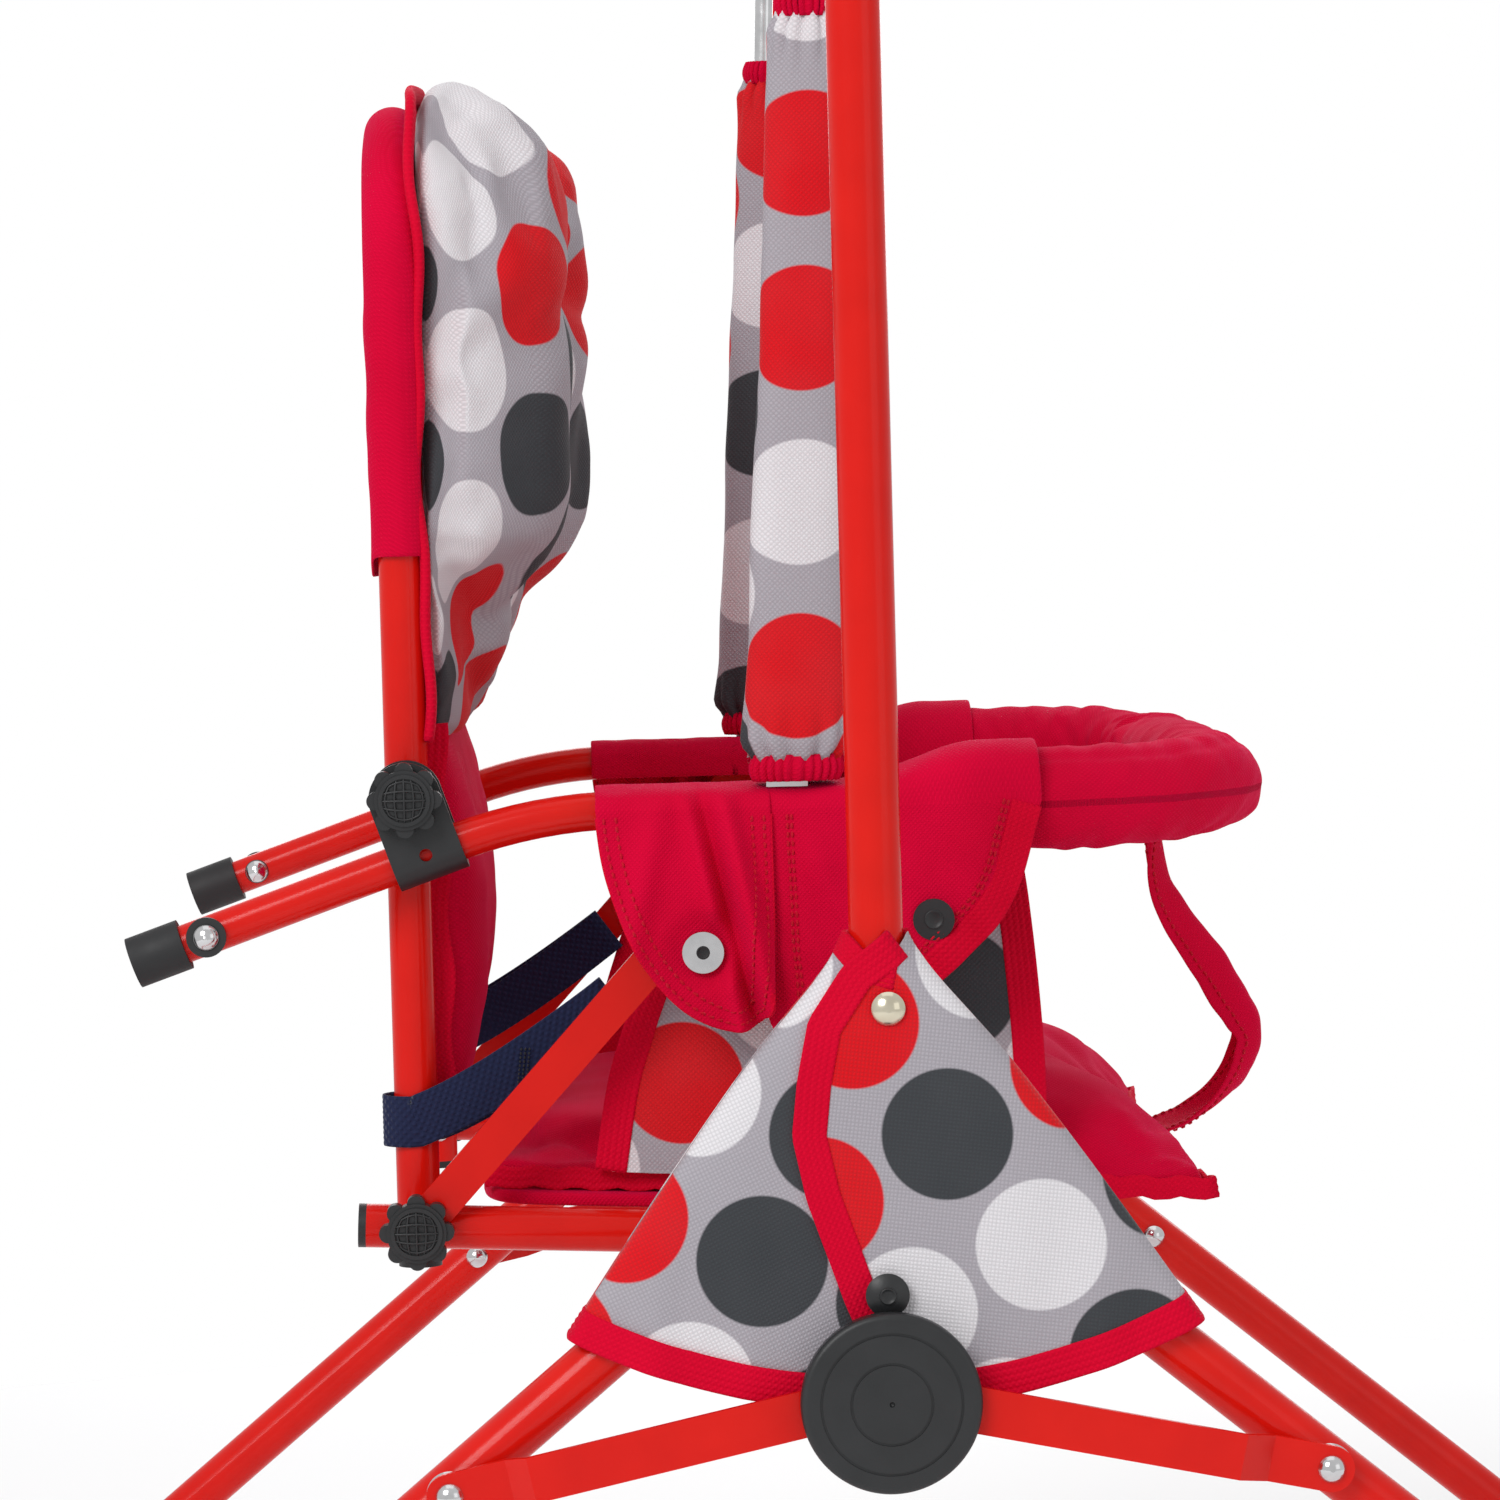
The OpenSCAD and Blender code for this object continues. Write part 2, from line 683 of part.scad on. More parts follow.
module struts() {
    rise = arm_z - hinge_z;
    run = hanger_x - hinge_x;
    color(tube_red) pair() translate([hinge_x, 0, hinge_z]) rotate([0, -atan2(rise, run), 0])
        difference() {
            slab(strut_y, strut_t) bar_outline(norm([run, rise]), strut_w);
            translate([0, strut_y - 5, 0]) rod_y(pin_d + 2 * snug, 0, 20);
            translate([norm([run, rise]), strut_y - 5, 0]) rod_y(pin_d + 2 * snug, 0, 20);
        }
}

module swing_bolts() {
    color(steel) pair() {
        strut_bolt();
        hinge_bolt();
    }
}

// Bolt that holds the hanger and the strut to the armrest, with a spacer on the tube
module strut_bolt() {
    out = hanger_y + hanger_t / 2;
    in = arm_y - arm_d / 2;
    translate([hanger_x, 0, arm_z]) {
        rivet_y(in, out, pin_d, 11, bolt_head);
        difference() {
            rod_y(12, arm_y + arm_d / 2, strut_y - arm_y - arm_d / 2 - eps);
            rod_y(pin_d + 2 * snug, arm_y, 20);
        }
    }
}

// Bolt through the strut, the seat tube, a spacer and the backrest tube, which turns on it
module hinge_bolt() {
    in = back_y - seat_d / 2 - play;
    translate([hinge_x, 0, hinge_z]) {
        rod_y(pin_d, in - eps, knob_y + 5 - in);
        mirror([0, 1, 0]) dome_y(12, -in, 3);
        difference() {
            rod_y(13, back_y + seat_d / 2 + play, arm_y - back_y - seat_d - play - 0.1);
            rod_y(pin_d + eps, back_y, arm_y);
        }
    }
}

module seat_tube() {
    back_end = 20;
    color(tube_red) translate([hinge_x, 0, hinge_z]) rotate([0, seat_tilt, 0]) difference() {
        translate([-back_end, 0, 0]) u_tube(seat_l + back_end, arm_y, 60, seat_d);
        translate([0, -arm_w, 0]) rod_y(pin_d + 2 * snug, 0, 2 * arm_w);
    }
}

module seat_plugs() {
    color(plastic_black) pair() translate([hinge_x, arm_y, hinge_z]) rotate([0, seat_tilt, 0])
        translate([-20, 0, 0]) tube_plug();
}

// A plug with its flange towards -X and its shank in a seat tube towards +X
module tube_plug() {
    translate([-3, 0, 0]) rotate([0, 90, 0]) cylinder(d = seat_d, h = 3);
    translate([-eps, 0, 0]) rotate([0, 90, 0])
        cylinder(d = seat_d - 2 * wall - 2 * snug, h = 10);
}

module seat_board() {
    color("tan") translate([hinge_x, 0, hinge_z]) rotate([0, seat_tilt, 0])
        translate([26, -arm_y + 8, seat_d / 2 + 0.1]) cube([seat_l - 30, arm_w - 16, board_t]);
}

module seat_cushion() {
    lift = board_t + 0.4;
    back = hinge_x + 26;
    tip = arm_front - 8;
    color(fabric_red) slab(-cushion_w / 2, cushion_w) polygon(concat(
        [[back, seat_top(back) + lift], [back, cushion_top - 16]],
        bulged([back + 40, cushion_top - 13], [88, cushion_top], 0, 4),
        bulged([96, cushion_top], [tip, cushion_top - 32], 4, 6),
        [[tip - 8, seat_top(tip - 8) + lift]]));
}

// The crotch strap's route at the middle of the swing, from the bumper to the seat
strap_route = [[134, 461.3], [141, 430], [165, 396], [177, 368], [165, 346], [143, 333]];

module crotch_strap() {
    shift = [arm_front - 147, 0];
    last = len(strap_route) - 1;
    // Each point moved square to the strap by h
    function edge(h) = [for (i = [0:last])
        let (d = strap_route[min(i + 1, last)] - strap_route[max(i - 1, 0)])
        strap_route[i] + shift + h * [-d[1], d[0]] / norm(d)];
    out = edge(1.5);
    color(fabric_red) slab(-24, 48)
        polygon(concat(edge(-1.5), [for (i = [last:-1:0]) out[i]]));
}

// ---- backrest ----

module backrest_tube() {
    color(tube_red) difference() {
        translate([hinge_x, 0, back_foot]) rotate([0, -90, 0])
            u_tube(back_z - back_foot, back_y, back_r, seat_d);
        for (z = [hinge_z, clamp_z]) translate([hinge_x, -back_w, z])
            rod_y(pin_d + 2 * run_gap, 0, 2 * back_w);
    }
}

module backrest_plugs() {
    color(plastic_black) pair() translate([hinge_x, back_y, back_foot]) rotate([0, -90, 0]) tube_plug();
}

// Closed pad in front of the backrest tube, with a wing along each side
module backrest_cushion() {
    x0 = hinge_x + seat_d / 2 + 0.4;
    low = clamp_z + 17;
    top = back_z + seat_d / 2 + 14;
    half = back_y;
    corner_r = 24;
    wing_w = 30;
    color(dotted_grey) {
        hull() {
            pair() translate([x0 + back_t / 2, half - corner_r - 2, top - corner_r - 2])
                rotate([0, 90, 0]) cylinder(r = corner_r, h = back_t * 0.7, center = true, $fn = 24);
            translate([x0, -half + 4, low + 50]) cube([back_t, 2 * half - 8, top - low - 110]);
            translate([x0, -half + 8, low]) cube([back_t * 0.4, 2 * half - 16, 10]);
        }
        pair() hull() {
            translate([x0 + 8, half - wing_w, low + 70]) cube([back_t + wing_t - 12, wing_w, 10]);
            translate([x0 + 8, half - wing_w, top - 60]) cube([back_t + wing_t - 14, wing_w, 10]);
        }
    }
}

// The cover's pocket over the top of the backrest tube, open below
module back_pocket() {
    x1 = hinge_x + seat_d / 2 + 0.1;
    x0 = hinge_x - seat_d / 2 - play - cloth;
    half = back_y + seat_d / 2 + play;
    low = back_z - 171;
    top = back_z + seat_d / 2 + play;
    color(fabric_red) difference() {
        translate([x0, -half - cloth, low]) cube([x1 - x0, 2 * (half + cloth), top + cloth - low]);
        translate([x0 + cloth, -half, low - 1]) cube([x1 - x0, 2 * half, top - low + 1]);
    }
}

module back_panel() {
    color(fabric_red) translate([hinge_x + seat_d / 2 + 0.4, -back_y + 10, hinge_z + 30])
        cube([6, back_w - 20, clamp_z + 16.6 - hinge_z - 30]);
}

// Webbing looped round the backrest tube, with its free run towards the side panel
module webbing_straps() {
    w = 20;
    z0 = hinge_z + 30;
    y_out = back_y + seat_d / 2 + play;
    color(navy) pair() {
        translate([hinge_x, back_y, z0]) linear_extrude(w) difference() {
            circle(r = y_out - back_y + 1.6);
            circle(r = y_out - back_y);
        }
        slab(y_out, 1.6) polygon([[hinge_x + 2, z0], [hinge_x + 62, z0 + 38],
            [hinge_x + 62, z0 + 38 + w * 1.1], [hinge_x + 2, z0 + w]]);
    }
}

// ---- clamps and knobs ----

// A plastic strap round the armrest tube, its two ends drawn together by the knob's stud
module clamp(s) {
    out = clamp_r + strap_t;
    color(plastic_black) side(s) on_arm(clamp_s) difference() {
        union() {
            rotate([0, 90, 0]) translate([0, 0, -clamp_w / 2]) cylinder(r = out, h = clamp_w);
            for (y = [-out, clamp_r]) slab(y, strap_t) {
                translate([-clamp_w / 2, 0]) square([clamp_w, clamp_up]);
                translate([0, clamp_up]) circle(d = clamp_w);
            }
        }
        rotate([0, 90, 0]) translate([0, 0, -clamp_w]) cylinder(r = clamp_r, h = 2 * clamp_w);
        translate([-clamp_w, -clamp_r, 0]) cube([2 * clamp_w, 2 * clamp_r, 2 * out]);
        translate([0, 0, clamp_up]) rod_y(pin_d + 2 * run_gap, -20, 40);
        rod_y(5, 0, 20);
    }
}

// An eight-lobed star knob, its back at y0 on the Y axis
module star_knob(y0) {
    lobe = 7;
    rod_y(knob_d * 0.6, y0, 3);
    rod_y(knob_d - 6, y0 + 1.5, knob_t - 1.5);
    for (a = [0:45:315]) rotate([0, a, 0]) translate([knob_d / 2 - lobe / 2, 0, 0])
        rod_y(lobe, y0 + 1.5, knob_t - 2.5);
    difference() {
        rod_y(knob_d - 9, y0 + knob_t - eps, 1);
        rod_y(knob_d - 12, y0 + knob_t, 2);
    }
}

module clamp_knob(s) {
    stud_y = back_y + seat_d / 2 + play;
    color(plastic_black) side(s) translate([hinge_x, 0, clamp_z]) {
        star_knob(clamp_knob_y);
        rod_y(pin_d, stud_y, clamp_knob_y - stud_y + 1);
    }
}

module pivot_knob(s) {
    color(plastic_black) side(s) translate([hinge_x, 0, hinge_z]) difference() {
        star_knob(knob_y);
        rod_y(pin_d + 2 * run_gap, knob_y - 1, 7);
    }
}

post(-1);  // post_right
post(1);  // post_left
top_bar();
top_bar_screws();
hanger_brackets();
hanger_bolts();
post_plugs();
leg_brackets();
leg_rivets();
skirt(-1);  // skirt_right
skirt(1);  // skirt_left
skirt_snaps();
leg_frame(true);  // front_leg_frame
leg_frame(false);  // rear_leg_frame
feet(true);  // front_feet
feet(false);  // rear_feet
link_rivets(true);  // front_link_rivets
link_rivets(false);  // rear_link_rivets
link(true, -1);  // front_link_right
link(true, 1);  // front_link_left
link(false, -1);  // rear_link_right
link(false, 1);  // rear_link_left
hub(-1);  // hub_right
hub(1);  // hub_left
hub_cap(-1);  // hub_cap_right
hub_cap(1);  // hub_cap_left
hub_snap(-1);  // hub_snap_right
hub_snap(1);  // hub_snap_left
hanger(-1);  // hanger_right
hanger(1);  // hanger_left
sleeve(-1);  // sleeve_right
sleeve(1);  // sleeve_left
armrest_tube();
armrest_caps();
armrest_stops();
bumper_pad();
side_panels();
rear_flaps();
front_flaps();
ring_snaps();
button_snaps();
struts();
swing_bolts();
seat_tube();
seat_plugs();
seat_board();
seat_cushion();
crotch_strap();
backrest_tube();
backrest_plugs();
backrest_cushion();
back_pocket();
back_panel();
webbing_straps();
clamp(-1);  // clamp_right
clamp(1);  // clamp_left
clamp_knob(-1);  // clamp_knob_right
clamp_knob(1);  // clamp_knob_left
pivot_knob(-1);  // pivot_knob_right
pivot_knob(1);  // pivot_knob_left
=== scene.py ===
import bpy
import bmesh
import json
from math import sin, cos, pi, radians, sqrt, hypot, exp
from mathutils import Vector, Matrix, noise


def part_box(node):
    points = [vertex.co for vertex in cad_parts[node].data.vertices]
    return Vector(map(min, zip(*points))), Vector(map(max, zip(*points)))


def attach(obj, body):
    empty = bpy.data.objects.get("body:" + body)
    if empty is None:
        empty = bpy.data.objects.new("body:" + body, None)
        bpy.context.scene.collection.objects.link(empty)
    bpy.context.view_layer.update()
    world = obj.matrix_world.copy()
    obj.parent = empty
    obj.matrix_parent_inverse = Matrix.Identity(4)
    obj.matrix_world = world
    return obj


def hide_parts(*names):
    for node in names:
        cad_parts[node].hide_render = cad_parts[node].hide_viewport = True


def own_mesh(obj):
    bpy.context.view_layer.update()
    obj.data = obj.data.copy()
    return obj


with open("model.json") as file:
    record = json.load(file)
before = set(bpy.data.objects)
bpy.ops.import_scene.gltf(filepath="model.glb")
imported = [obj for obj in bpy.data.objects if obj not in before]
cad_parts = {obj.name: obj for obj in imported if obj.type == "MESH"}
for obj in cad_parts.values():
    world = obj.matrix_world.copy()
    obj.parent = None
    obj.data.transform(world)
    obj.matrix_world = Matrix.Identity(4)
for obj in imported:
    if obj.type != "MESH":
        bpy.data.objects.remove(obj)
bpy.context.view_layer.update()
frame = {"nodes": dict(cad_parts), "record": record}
print("frame loaded")


# small helpers

def mix(a, b, t):
    return a + (b - a) * t


def ease(t):
    t = min(max(t, 0), 1)
    return t * t * (3 - 2 * t)


def bumpAt(t, centre, width):  # 1 at the centre, 0 from width on
    return ease(1 - abs(t - centre) / width)


def bell(t, centre, width):  # 1 at the centre, with long soft tails
    return exp(-((t - centre) / width) ** 2)


def signedPower(value, power):  # powers under 1 turn a circle into a rounded rectangle
    return abs(value) ** power * (1 if value > 0 else -1)


def ripple(place, size, seed=0):  # smooth noise from -1 to 1, features about size across
    return noise.noise(Vector(place) / size + Vector((seed * 7.3, seed * 3.1, seed * 1.7)))


def alongPath(points, t):  # point at share t of a list of points, by length
    steps = [(b - a).length for a, b in zip(points, points[1:])]
    left = t * sum(steps)
    for a, b, step in zip(points, points[1:], steps):
        if left <= step or b is points[-1]:
            return a.lerp(b, min(left / max(step, 1e-9), 1))
        left -= step


def forwardAt(points, k):  # direction of a list of points at its point k
    return (points[min(k + 1, len(points) - 1)] - points[max(k - 1, 0)]).normalized()


def smoothPath(points, count):  # a Catmull-Rom curve through the points, evenly spaced
    points = [Vector(p) for p in points]
    full = [points[0] * 2 - points[1]] + points + [points[-1] * 2 - points[-2]]
    dense = []
    for a, b, c, d in zip(full, full[1:], full[2:], full[3:]):
        for k in range(12):
            t = k / 12
            dense.append(0.5 * (2 * b + (c - a) * t + (2 * a - 5 * b + 4 * c - d) * t ** 2
                                + (3 * b - a - 3 * c + d) * t ** 3))
    dense.append(points[-1])
    return [alongPath(dense, k / (count - 1)) for k in range(count)]


def addMesh(name, points, faces, cloth=None):
    mesh = bpy.data.meshes.new(name)
    mesh.from_pydata([tuple(p) for p in points], [], faces)
    mesh.update()
    if cloth:
        setCloth(mesh, cloth)
    piece = bpy.data.objects.new(name, mesh)
    bpy.context.collection.objects.link(piece)
    return piece


def setCloth(mesh, cloth):  # where each point lies on the flat cloth, in metres
    layer = mesh.attributes.get("cloth") or mesh.attributes.new("cloth", "FLOAT_VECTOR", "POINT")
    layer.data.foreach_set("vector", [c for p in cloth for c in (p[0], p[1], 0)])


def addGrid(name, rows, cloth=None, ring=False, caps=False):
    across = len(rows[0])
    points = [p for row in rows for p in row]
    faces = []
    for r in range(len(rows) - 1):
        for k in range(across if ring else across - 1):
            a, b = r * across + k, r * across + (k + 1) % across
            faces.append((a, b, b + across, a + across))
    if caps:
        faces.append(tuple(range(across))[::-1])
        faces.append(tuple((len(rows) - 1) * across + k for k in range(across)))
    flat = [c for row in cloth for c in row] if cloth else None
    return addMesh(name, points, faces, flat)


def bake(piece):  # keeps the shape that the modifiers give
    bpy.context.view_layer.update()
    depsgraph = bpy.context.evaluated_depsgraph_get()
    shaped = bpy.data.meshes.new_from_object(piece.evaluated_get(depsgraph))
    piece.modifiers.clear()
    piece.data = shaped
    return piece


def roundOff(piece):
    piece.modifiers.new("smooth", "SUBSURF").levels = 1
    return bake(piece)


def thicken(piece, thickness, smooth=True, offset=0):
    solid = piece.modifiers.new("thickness", "SOLIDIFY")
    solid.thickness = thickness
    solid.offset = offset
    return roundOff(piece) if smooth else bake(piece)


def joinPieces(name, pieces):  # one mesh out of several
    points, faces, cloth = [], [], []
    for piece in pieces:
        start = len(points)
        points += [v.co.copy() for v in piece.data.vertices]
        faces += [tuple(start + k for k in p.vertices) for p in piece.data.polygons]
        layer = piece.data.attributes.get("cloth")
        if layer:
            cloth += [tuple(d.vector)[:2] for d in layer.data]
        else:
            cloth += [(v.co.x + v.co.y, v.co.z) for v in piece.data.vertices]
        bpy.data.objects.remove(piece)
    return addMesh(name, points, faces, cloth)


def dress(piece, body, material, slotName, *nodes):  # the last step for each piece
    piece.data.materials.clear()
    piece.data.materials.append(material)
    for face in piece.data.polygons:
        face.use_smooth = True
    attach(piece, body)
    if nodes:
        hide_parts(*nodes)
    return piece


def sweep(name, path, sides, outline, closed=False, cloth=True):
    # carries an outline of (across, lift) pairs along a path; sides are the across directions
    rows, flat, run = [], [], 0
    count = len(path)
    for k, (place, side) in enumerate(zip(path, sides)):
        after = path[(k + 1) % count] if closed or k < count - 1 else path[k]
        before = path[k - 1] if closed or k else path[0]
        forward = (after - before).normalized()
        across = (side - forward * side.dot(forward)).normalized()
        lift = across.cross(forward)
        rows.append([place + across * a + lift * h for a, h in outline])
        flat.append([(a, run) for a, h in outline])
        run += (path[min(k + 1, count - 1)] - place).length
    if closed:
        rows.append(rows[0])
        flat.append([(a, run) for a, h in outline])
    return addGrid(name, rows, flat if cloth else None, ring=True, caps=not closed)


def tapeOutline(width, thickness, ribs, folded=0.0):  # ribbed on its outer side
    steps = ribs * 4
    rib = thickness * 0.4
    top = [(width * (k / steps - 0.5), thickness - rib * (0.5 + 0.5 * cos(2 * pi * k / 4)))
           for k in range(steps + 1)]
    return top + [(width * 0.5, -folded), (0, -folded), (-width * 0.5, -folded)]


def stitchRow(path, normals, pitch=0.0034, thread=0.00045):  # points and faces of a row of stitches
    points, faces = [], []
    total = sum((b - a).length for a, b in zip(path, path[1:]))
    count = int(total / pitch)
    for k in range(count):
        a = alongPath(path, (k + 0.14) / count)
        b = alongPath(path, (k + 0.86) / count)
        normal = alongPath(normals, (k + 0.5) / count).normalized()
        run = b - a
        side = run.cross(normal).normalized() * thread
        for share, size in ((0, 0.25), (0.25, 1), (0.75, 1), (1, 0.25)):
            place = a + run * share + normal * thread * (0.9 if 0 < share < 1 else -0.3)
            for turn in range(5):
                angle = 2 * pi * turn / 5
                points.append(place + side * cos(angle) * size + normal * thread * sin(angle) * size)
        start = len(points) - 20
        for ring in range(3):
            for turn in range(5):
                p, q = start + ring * 5 + turn, start + ring * 5 + (turn + 1) % 5
                faces.append((p, q, q + 5, p + 5))
        faces.append(tuple(start + t for t in range(5))[::-1])
        faces.append(tuple(start + 15 + t for t in range(5)))
    return points, faces


def addStitches(name, rows, body, material, slotName, **sizes):
    points, faces = [], []
    for path, normals in rows:
        morePoints, moreFaces = stitchRow(path, normals, **sizes)
        faces += [tuple(k + len(points) for k in face) for face in moreFaces]
        points += morePoints
    return dress(addMesh(name, points, faces), body, material, slotName)


# materials

def node(tree, kind, *inputs, **settings):
    made = tree.nodes.new(kind)
    for key, value in settings.items():
        setattr(made, key, value)
    for socket, value in zip(made.inputs, inputs):
        if isinstance(value, bpy.types.NodeSocket):
            tree.links.new(value, socket)
        elif value is not None:
            socket.default_value = value
    return made


def calc(tree, operation, *inputs):
    return node(tree, "ShaderNodeMath", *inputs, operation=operation).outputs[0]


def newMaterial(name, roughness, metallic=0.0, **sockets):
    material = bpy.data.materials.new(name)
    material.use_nodes = True
    shader = material.node_tree.nodes["Principled BSDF"]
    shader.inputs["Roughness"].default_value = roughness
    shader.inputs["Metallic"].default_value = metallic
    for key, value in sockets.items():
        shader.inputs[key.replace("_", " ")].default_value = value
    return material, material.node_tree, shader


def blendColors(tree, factor, a, b):
    made = node(tree, "ShaderNodeMix", data_type="RGBA")
    for socket, value in ((made.inputs[0], factor), (made.inputs[6], a), (made.inputs[7], b)):
        if isinstance(value, bpy.types.NodeSocket):
            tree.links.new(value, socket)
        else:
            socket.default_value = value if isinstance(value, float) else (*value, 1)
    return made.outputs[2]


def noiseAt(tree, scale, detail=2.0, coords=None):
    coords = coords or node(tree, "ShaderNodeTexCoord").outputs["Object"]
    made = node(tree, "ShaderNodeTexNoise", coords)
    made.inputs["Scale"].default_value = scale
    made.inputs["Detail"].default_value = detail
    return made.outputs[0]


def addBump(tree, shader, height, strength, distance):
    bump = node(tree, "ShaderNodeBump")
    bump.inputs["Strength"].default_value = strength
    bump.inputs["Distance"].default_value = distance
    tree.links.new(height, bump.inputs["Height"])
    tree.links.new(bump.outputs[0], shader.inputs["Normal"])


def paintedTube(name, paint):  # powder coat: even gloss with a fine orange peel
    material, tree, shader = newMaterial(name, paint["roughness"], Specular_IOR_Level=0.22)
    cloudy = noiseAt(tree, 45)
    tree.links.new(blendColors(tree, cloudy, paint["dark"], paint["light"]), shader.inputs["Base Color"])
    peel = noiseAt(tree, 900, 3)
    addBump(tree, shader, peel, 0.12, 0.0003)
    return material


def plainMetal(name, metal):
    material, tree, shader = newMaterial(name, metal["roughness"], 1.0)
    smear = noiseAt(tree, 160, 4)
    tree.links.new(blendColors(tree, smear, metal["dark"], metal["light"]), shader.inputs["Base Color"])
    tree.links.new(node(tree, "ShaderNodeMapRange", smear, 0.3, 0.7, metal["roughness"] * 0.7,
                        metal["roughness"] * 1.4).outputs[0], shader.inputs["Roughness"])
    addBump(tree, shader, noiseAt(tree, 600, 2), 0.05, 0.0002)
    return material


def mouldedPlastic(name, plastic):
    material, tree, shader = newMaterial(name, plastic["roughness"], Specular_IOR_Level=0.45)
    grain = noiseAt(tree, plastic["grain"], 3)
    wear = noiseAt(tree, 60, 3)
    tree.links.new(blendColors(tree, wear, plastic["dark"], plastic["light"]), shader.inputs["Base Color"])
    tree.links.new(node(tree, "ShaderNodeMapRange", wear, 0.3, 0.7, plastic["roughness"] * 0.85,
                        plastic["roughness"] * 1.2).outputs[0], shader.inputs["Roughness"])
    addBump(tree, shader, grain, 0.25, 0.0002)
    return material


def weaveParts(tree, thread, turn=0.0):  # flat cloth coordinates and the height of a plain weave
    flat = node(tree, "ShaderNodeAttribute", attribute_name="cloth").outputs["Vector"]
    if turn:
        flat = node(tree, "ShaderNodeVectorRotate", flat, None, None, turn, rotation_type="Z_AXIS")
        flat.inputs["Angle"].default_value = turn
        flat = flat.outputs[0]
    split = node(tree, "ShaderNodeSeparateXYZ", flat)
    u, v = split.outputs[0], split.outputs[1]
    waves = [calc(tree, "SINE", calc(tree, "MULTIPLY", side, pi / thread)) for side in (u, v)]
    weave = calc(tree, "MULTIPLY", waves[0], waves[1])
    ridge = [calc(tree, "ABSOLUTE", wave) for wave in waves]
    height = calc(tree, "ADD", calc(tree, "MULTIPLY", weave, 0.5),
                  calc(tree, "MULTIPLY", calc(tree, "ADD", *ridge), 0.25))
    return u, v, height


def addWeaveBump(tree, shader, height, cloth):  # threads with a fine fuzz on them
    fuzz = calc(tree, "MULTIPLY", noiseAt(tree, 1500, 1), 0.25)
    addBump(tree, shader, calc(tree, "ADD", height, fuzz), cloth["bump"], cloth["thread"] * 0.35)


def wovenCloth(name, cloth):
    material, tree, shader = newMaterial(name, cloth["roughness"], Sheen_Weight=cloth["sheen"],
                                         Sheen_Roughness=0.4, Specular_IOR_Level=0.05)
    shader.inputs["Sheen Tint"].default_value = (*cloth["sheenTint"], 1)
    u, v, height = weaveParts(tree, cloth["thread"], cloth.get("turn", 0.0))
    cloudy = noiseAt(tree, 25)
    base = blendColors(tree, cloudy, cloth["dark"], cloth["light"])
    # painted shade: the low places of the weave, between the threads, are blended towards a darker copy of
    # the cloth colour
    deep = tuple(c * 0.62 for c in cloth["dark"])
    shade = node(tree, "ShaderNodeMapRange", height, -0.3, 0.5, 0.45, 0.0).outputs[0]
    tree.links.new(blendColors(tree, shade, base, deep), shader.inputs["Base Color"])
    addWeaveBump(tree, shader, height, cloth)
    return material


printed = {  # the printed dots, in metres on the flat cloth, a random soil tone, and the near-black of the painted shade between the threads
    "across": 0.0415, "down": 0.0665, "radius": 0.024, "edge": 0.0004,
    "ground": (0.43, 0.405, 0.445), "red": (0.72, 0.006, 0.012),
    "white": (0.78, 0.76, 0.79), "dark": (0.050, 0.056, 0.062),
    "scatter": 43.7, "redBelow": 0.36, "whiteAbove": 0.68,
    "soil": (0.25, 0.24, 0.26), "gapShade": (0.03, 0.02, 0.025),
}


def dottedCloth(name, cloth, luck):
    # two rectangular rows of dots; luck picks which of the three colours each dot has
    material, tree, shader = newMaterial(name, cloth["roughness"], Sheen_Weight=cloth["sheen"],
                                         Sheen_Roughness=0.4, Specular_IOR_Level=0.1)
    u, v, height = weaveParts(tree, cloth["thread"], cloth.get("turn", 0.0))
    if cloth.get("turn"):
        straight = node(tree, "ShaderNodeAttribute", attribute_name="cloth").outputs["Vector"]
        split = node(tree, "ShaderNodeSeparateXYZ", straight)
        u, v = split.outputs[0], split.outputs[1]
    paint = printed["ground"]
    for odd in (0, 1):
        pitch = (2 * printed["across"], printed["down"])
        shifted = [calc(tree, "SUBTRACT", side, odd * step / 2) for side, step in zip((u, v), pitch)]
        cells = [calc(tree, "ROUND", calc(tree, "DIVIDE", side, step)) for side, step in zip(shifted, pitch)]
        off = [calc(tree, "SUBTRACT", side, calc(tree, "MULTIPLY", cell, step))
               for side, cell, step in zip(shifted, cells, pitch)]
        away = calc(tree, "SQRT", calc(tree, "ADD", calc(tree, "MULTIPLY", off[0], off[0]),
                                       calc(tree, "MULTIPLY", off[1], off[1])))
        column = calc(tree, "ADD", calc(tree, "MULTIPLY", cells[0], 2.0), float(odd))
        mixed = calc(tree, "ADD", calc(tree, "ADD", calc(tree, "MULTIPLY", column, luck[0]),
                                       calc(tree, "MULTIPLY", cells[1], luck[1])), luck[2])
        draw = calc(tree, "FRACT", calc(tree, "MULTIPLY", calc(tree, "SINE", mixed), printed["scatter"]))
        isRed = calc(tree, "LESS_THAN", draw, printed["redBelow"])
        isWhite = calc(tree, "GREATER_THAN", draw, printed["whiteAbove"])
        dot = blendColors(tree, isRed, printed["dark"], printed["red"])
        dot = blendColors(tree, isWhite, dot, printed["white"])
        inside = node(tree, "ShaderNodeMapRange", away, printed["radius"] - printed["edge"],
                      printed["radius"] + printed["edge"], 1.0, 0.0).outputs[0]
        paint = blendColors(tree, inside, paint, dot)
    cloudy = node(tree, "ShaderNodeMapRange", noiseAt(tree, 30), 0.3, 0.7, 0.0, 0.04).outputs[0]
    paint = blendColors(tree, cloudy, paint, printed["soil"])
    # painted shade: the low places of the weave, between the threads, are blended towards a near-black
    shade = node(tree, "ShaderNodeMapRange", height, -0.3, 0.5, 0.38, 0.0).outputs[0]
    tree.links.new(blendColors(tree, shade, paint, printed["gapShade"]), shader.inputs["Base Color"])
    addWeaveBump(tree, shader, height, cloth)
    return material


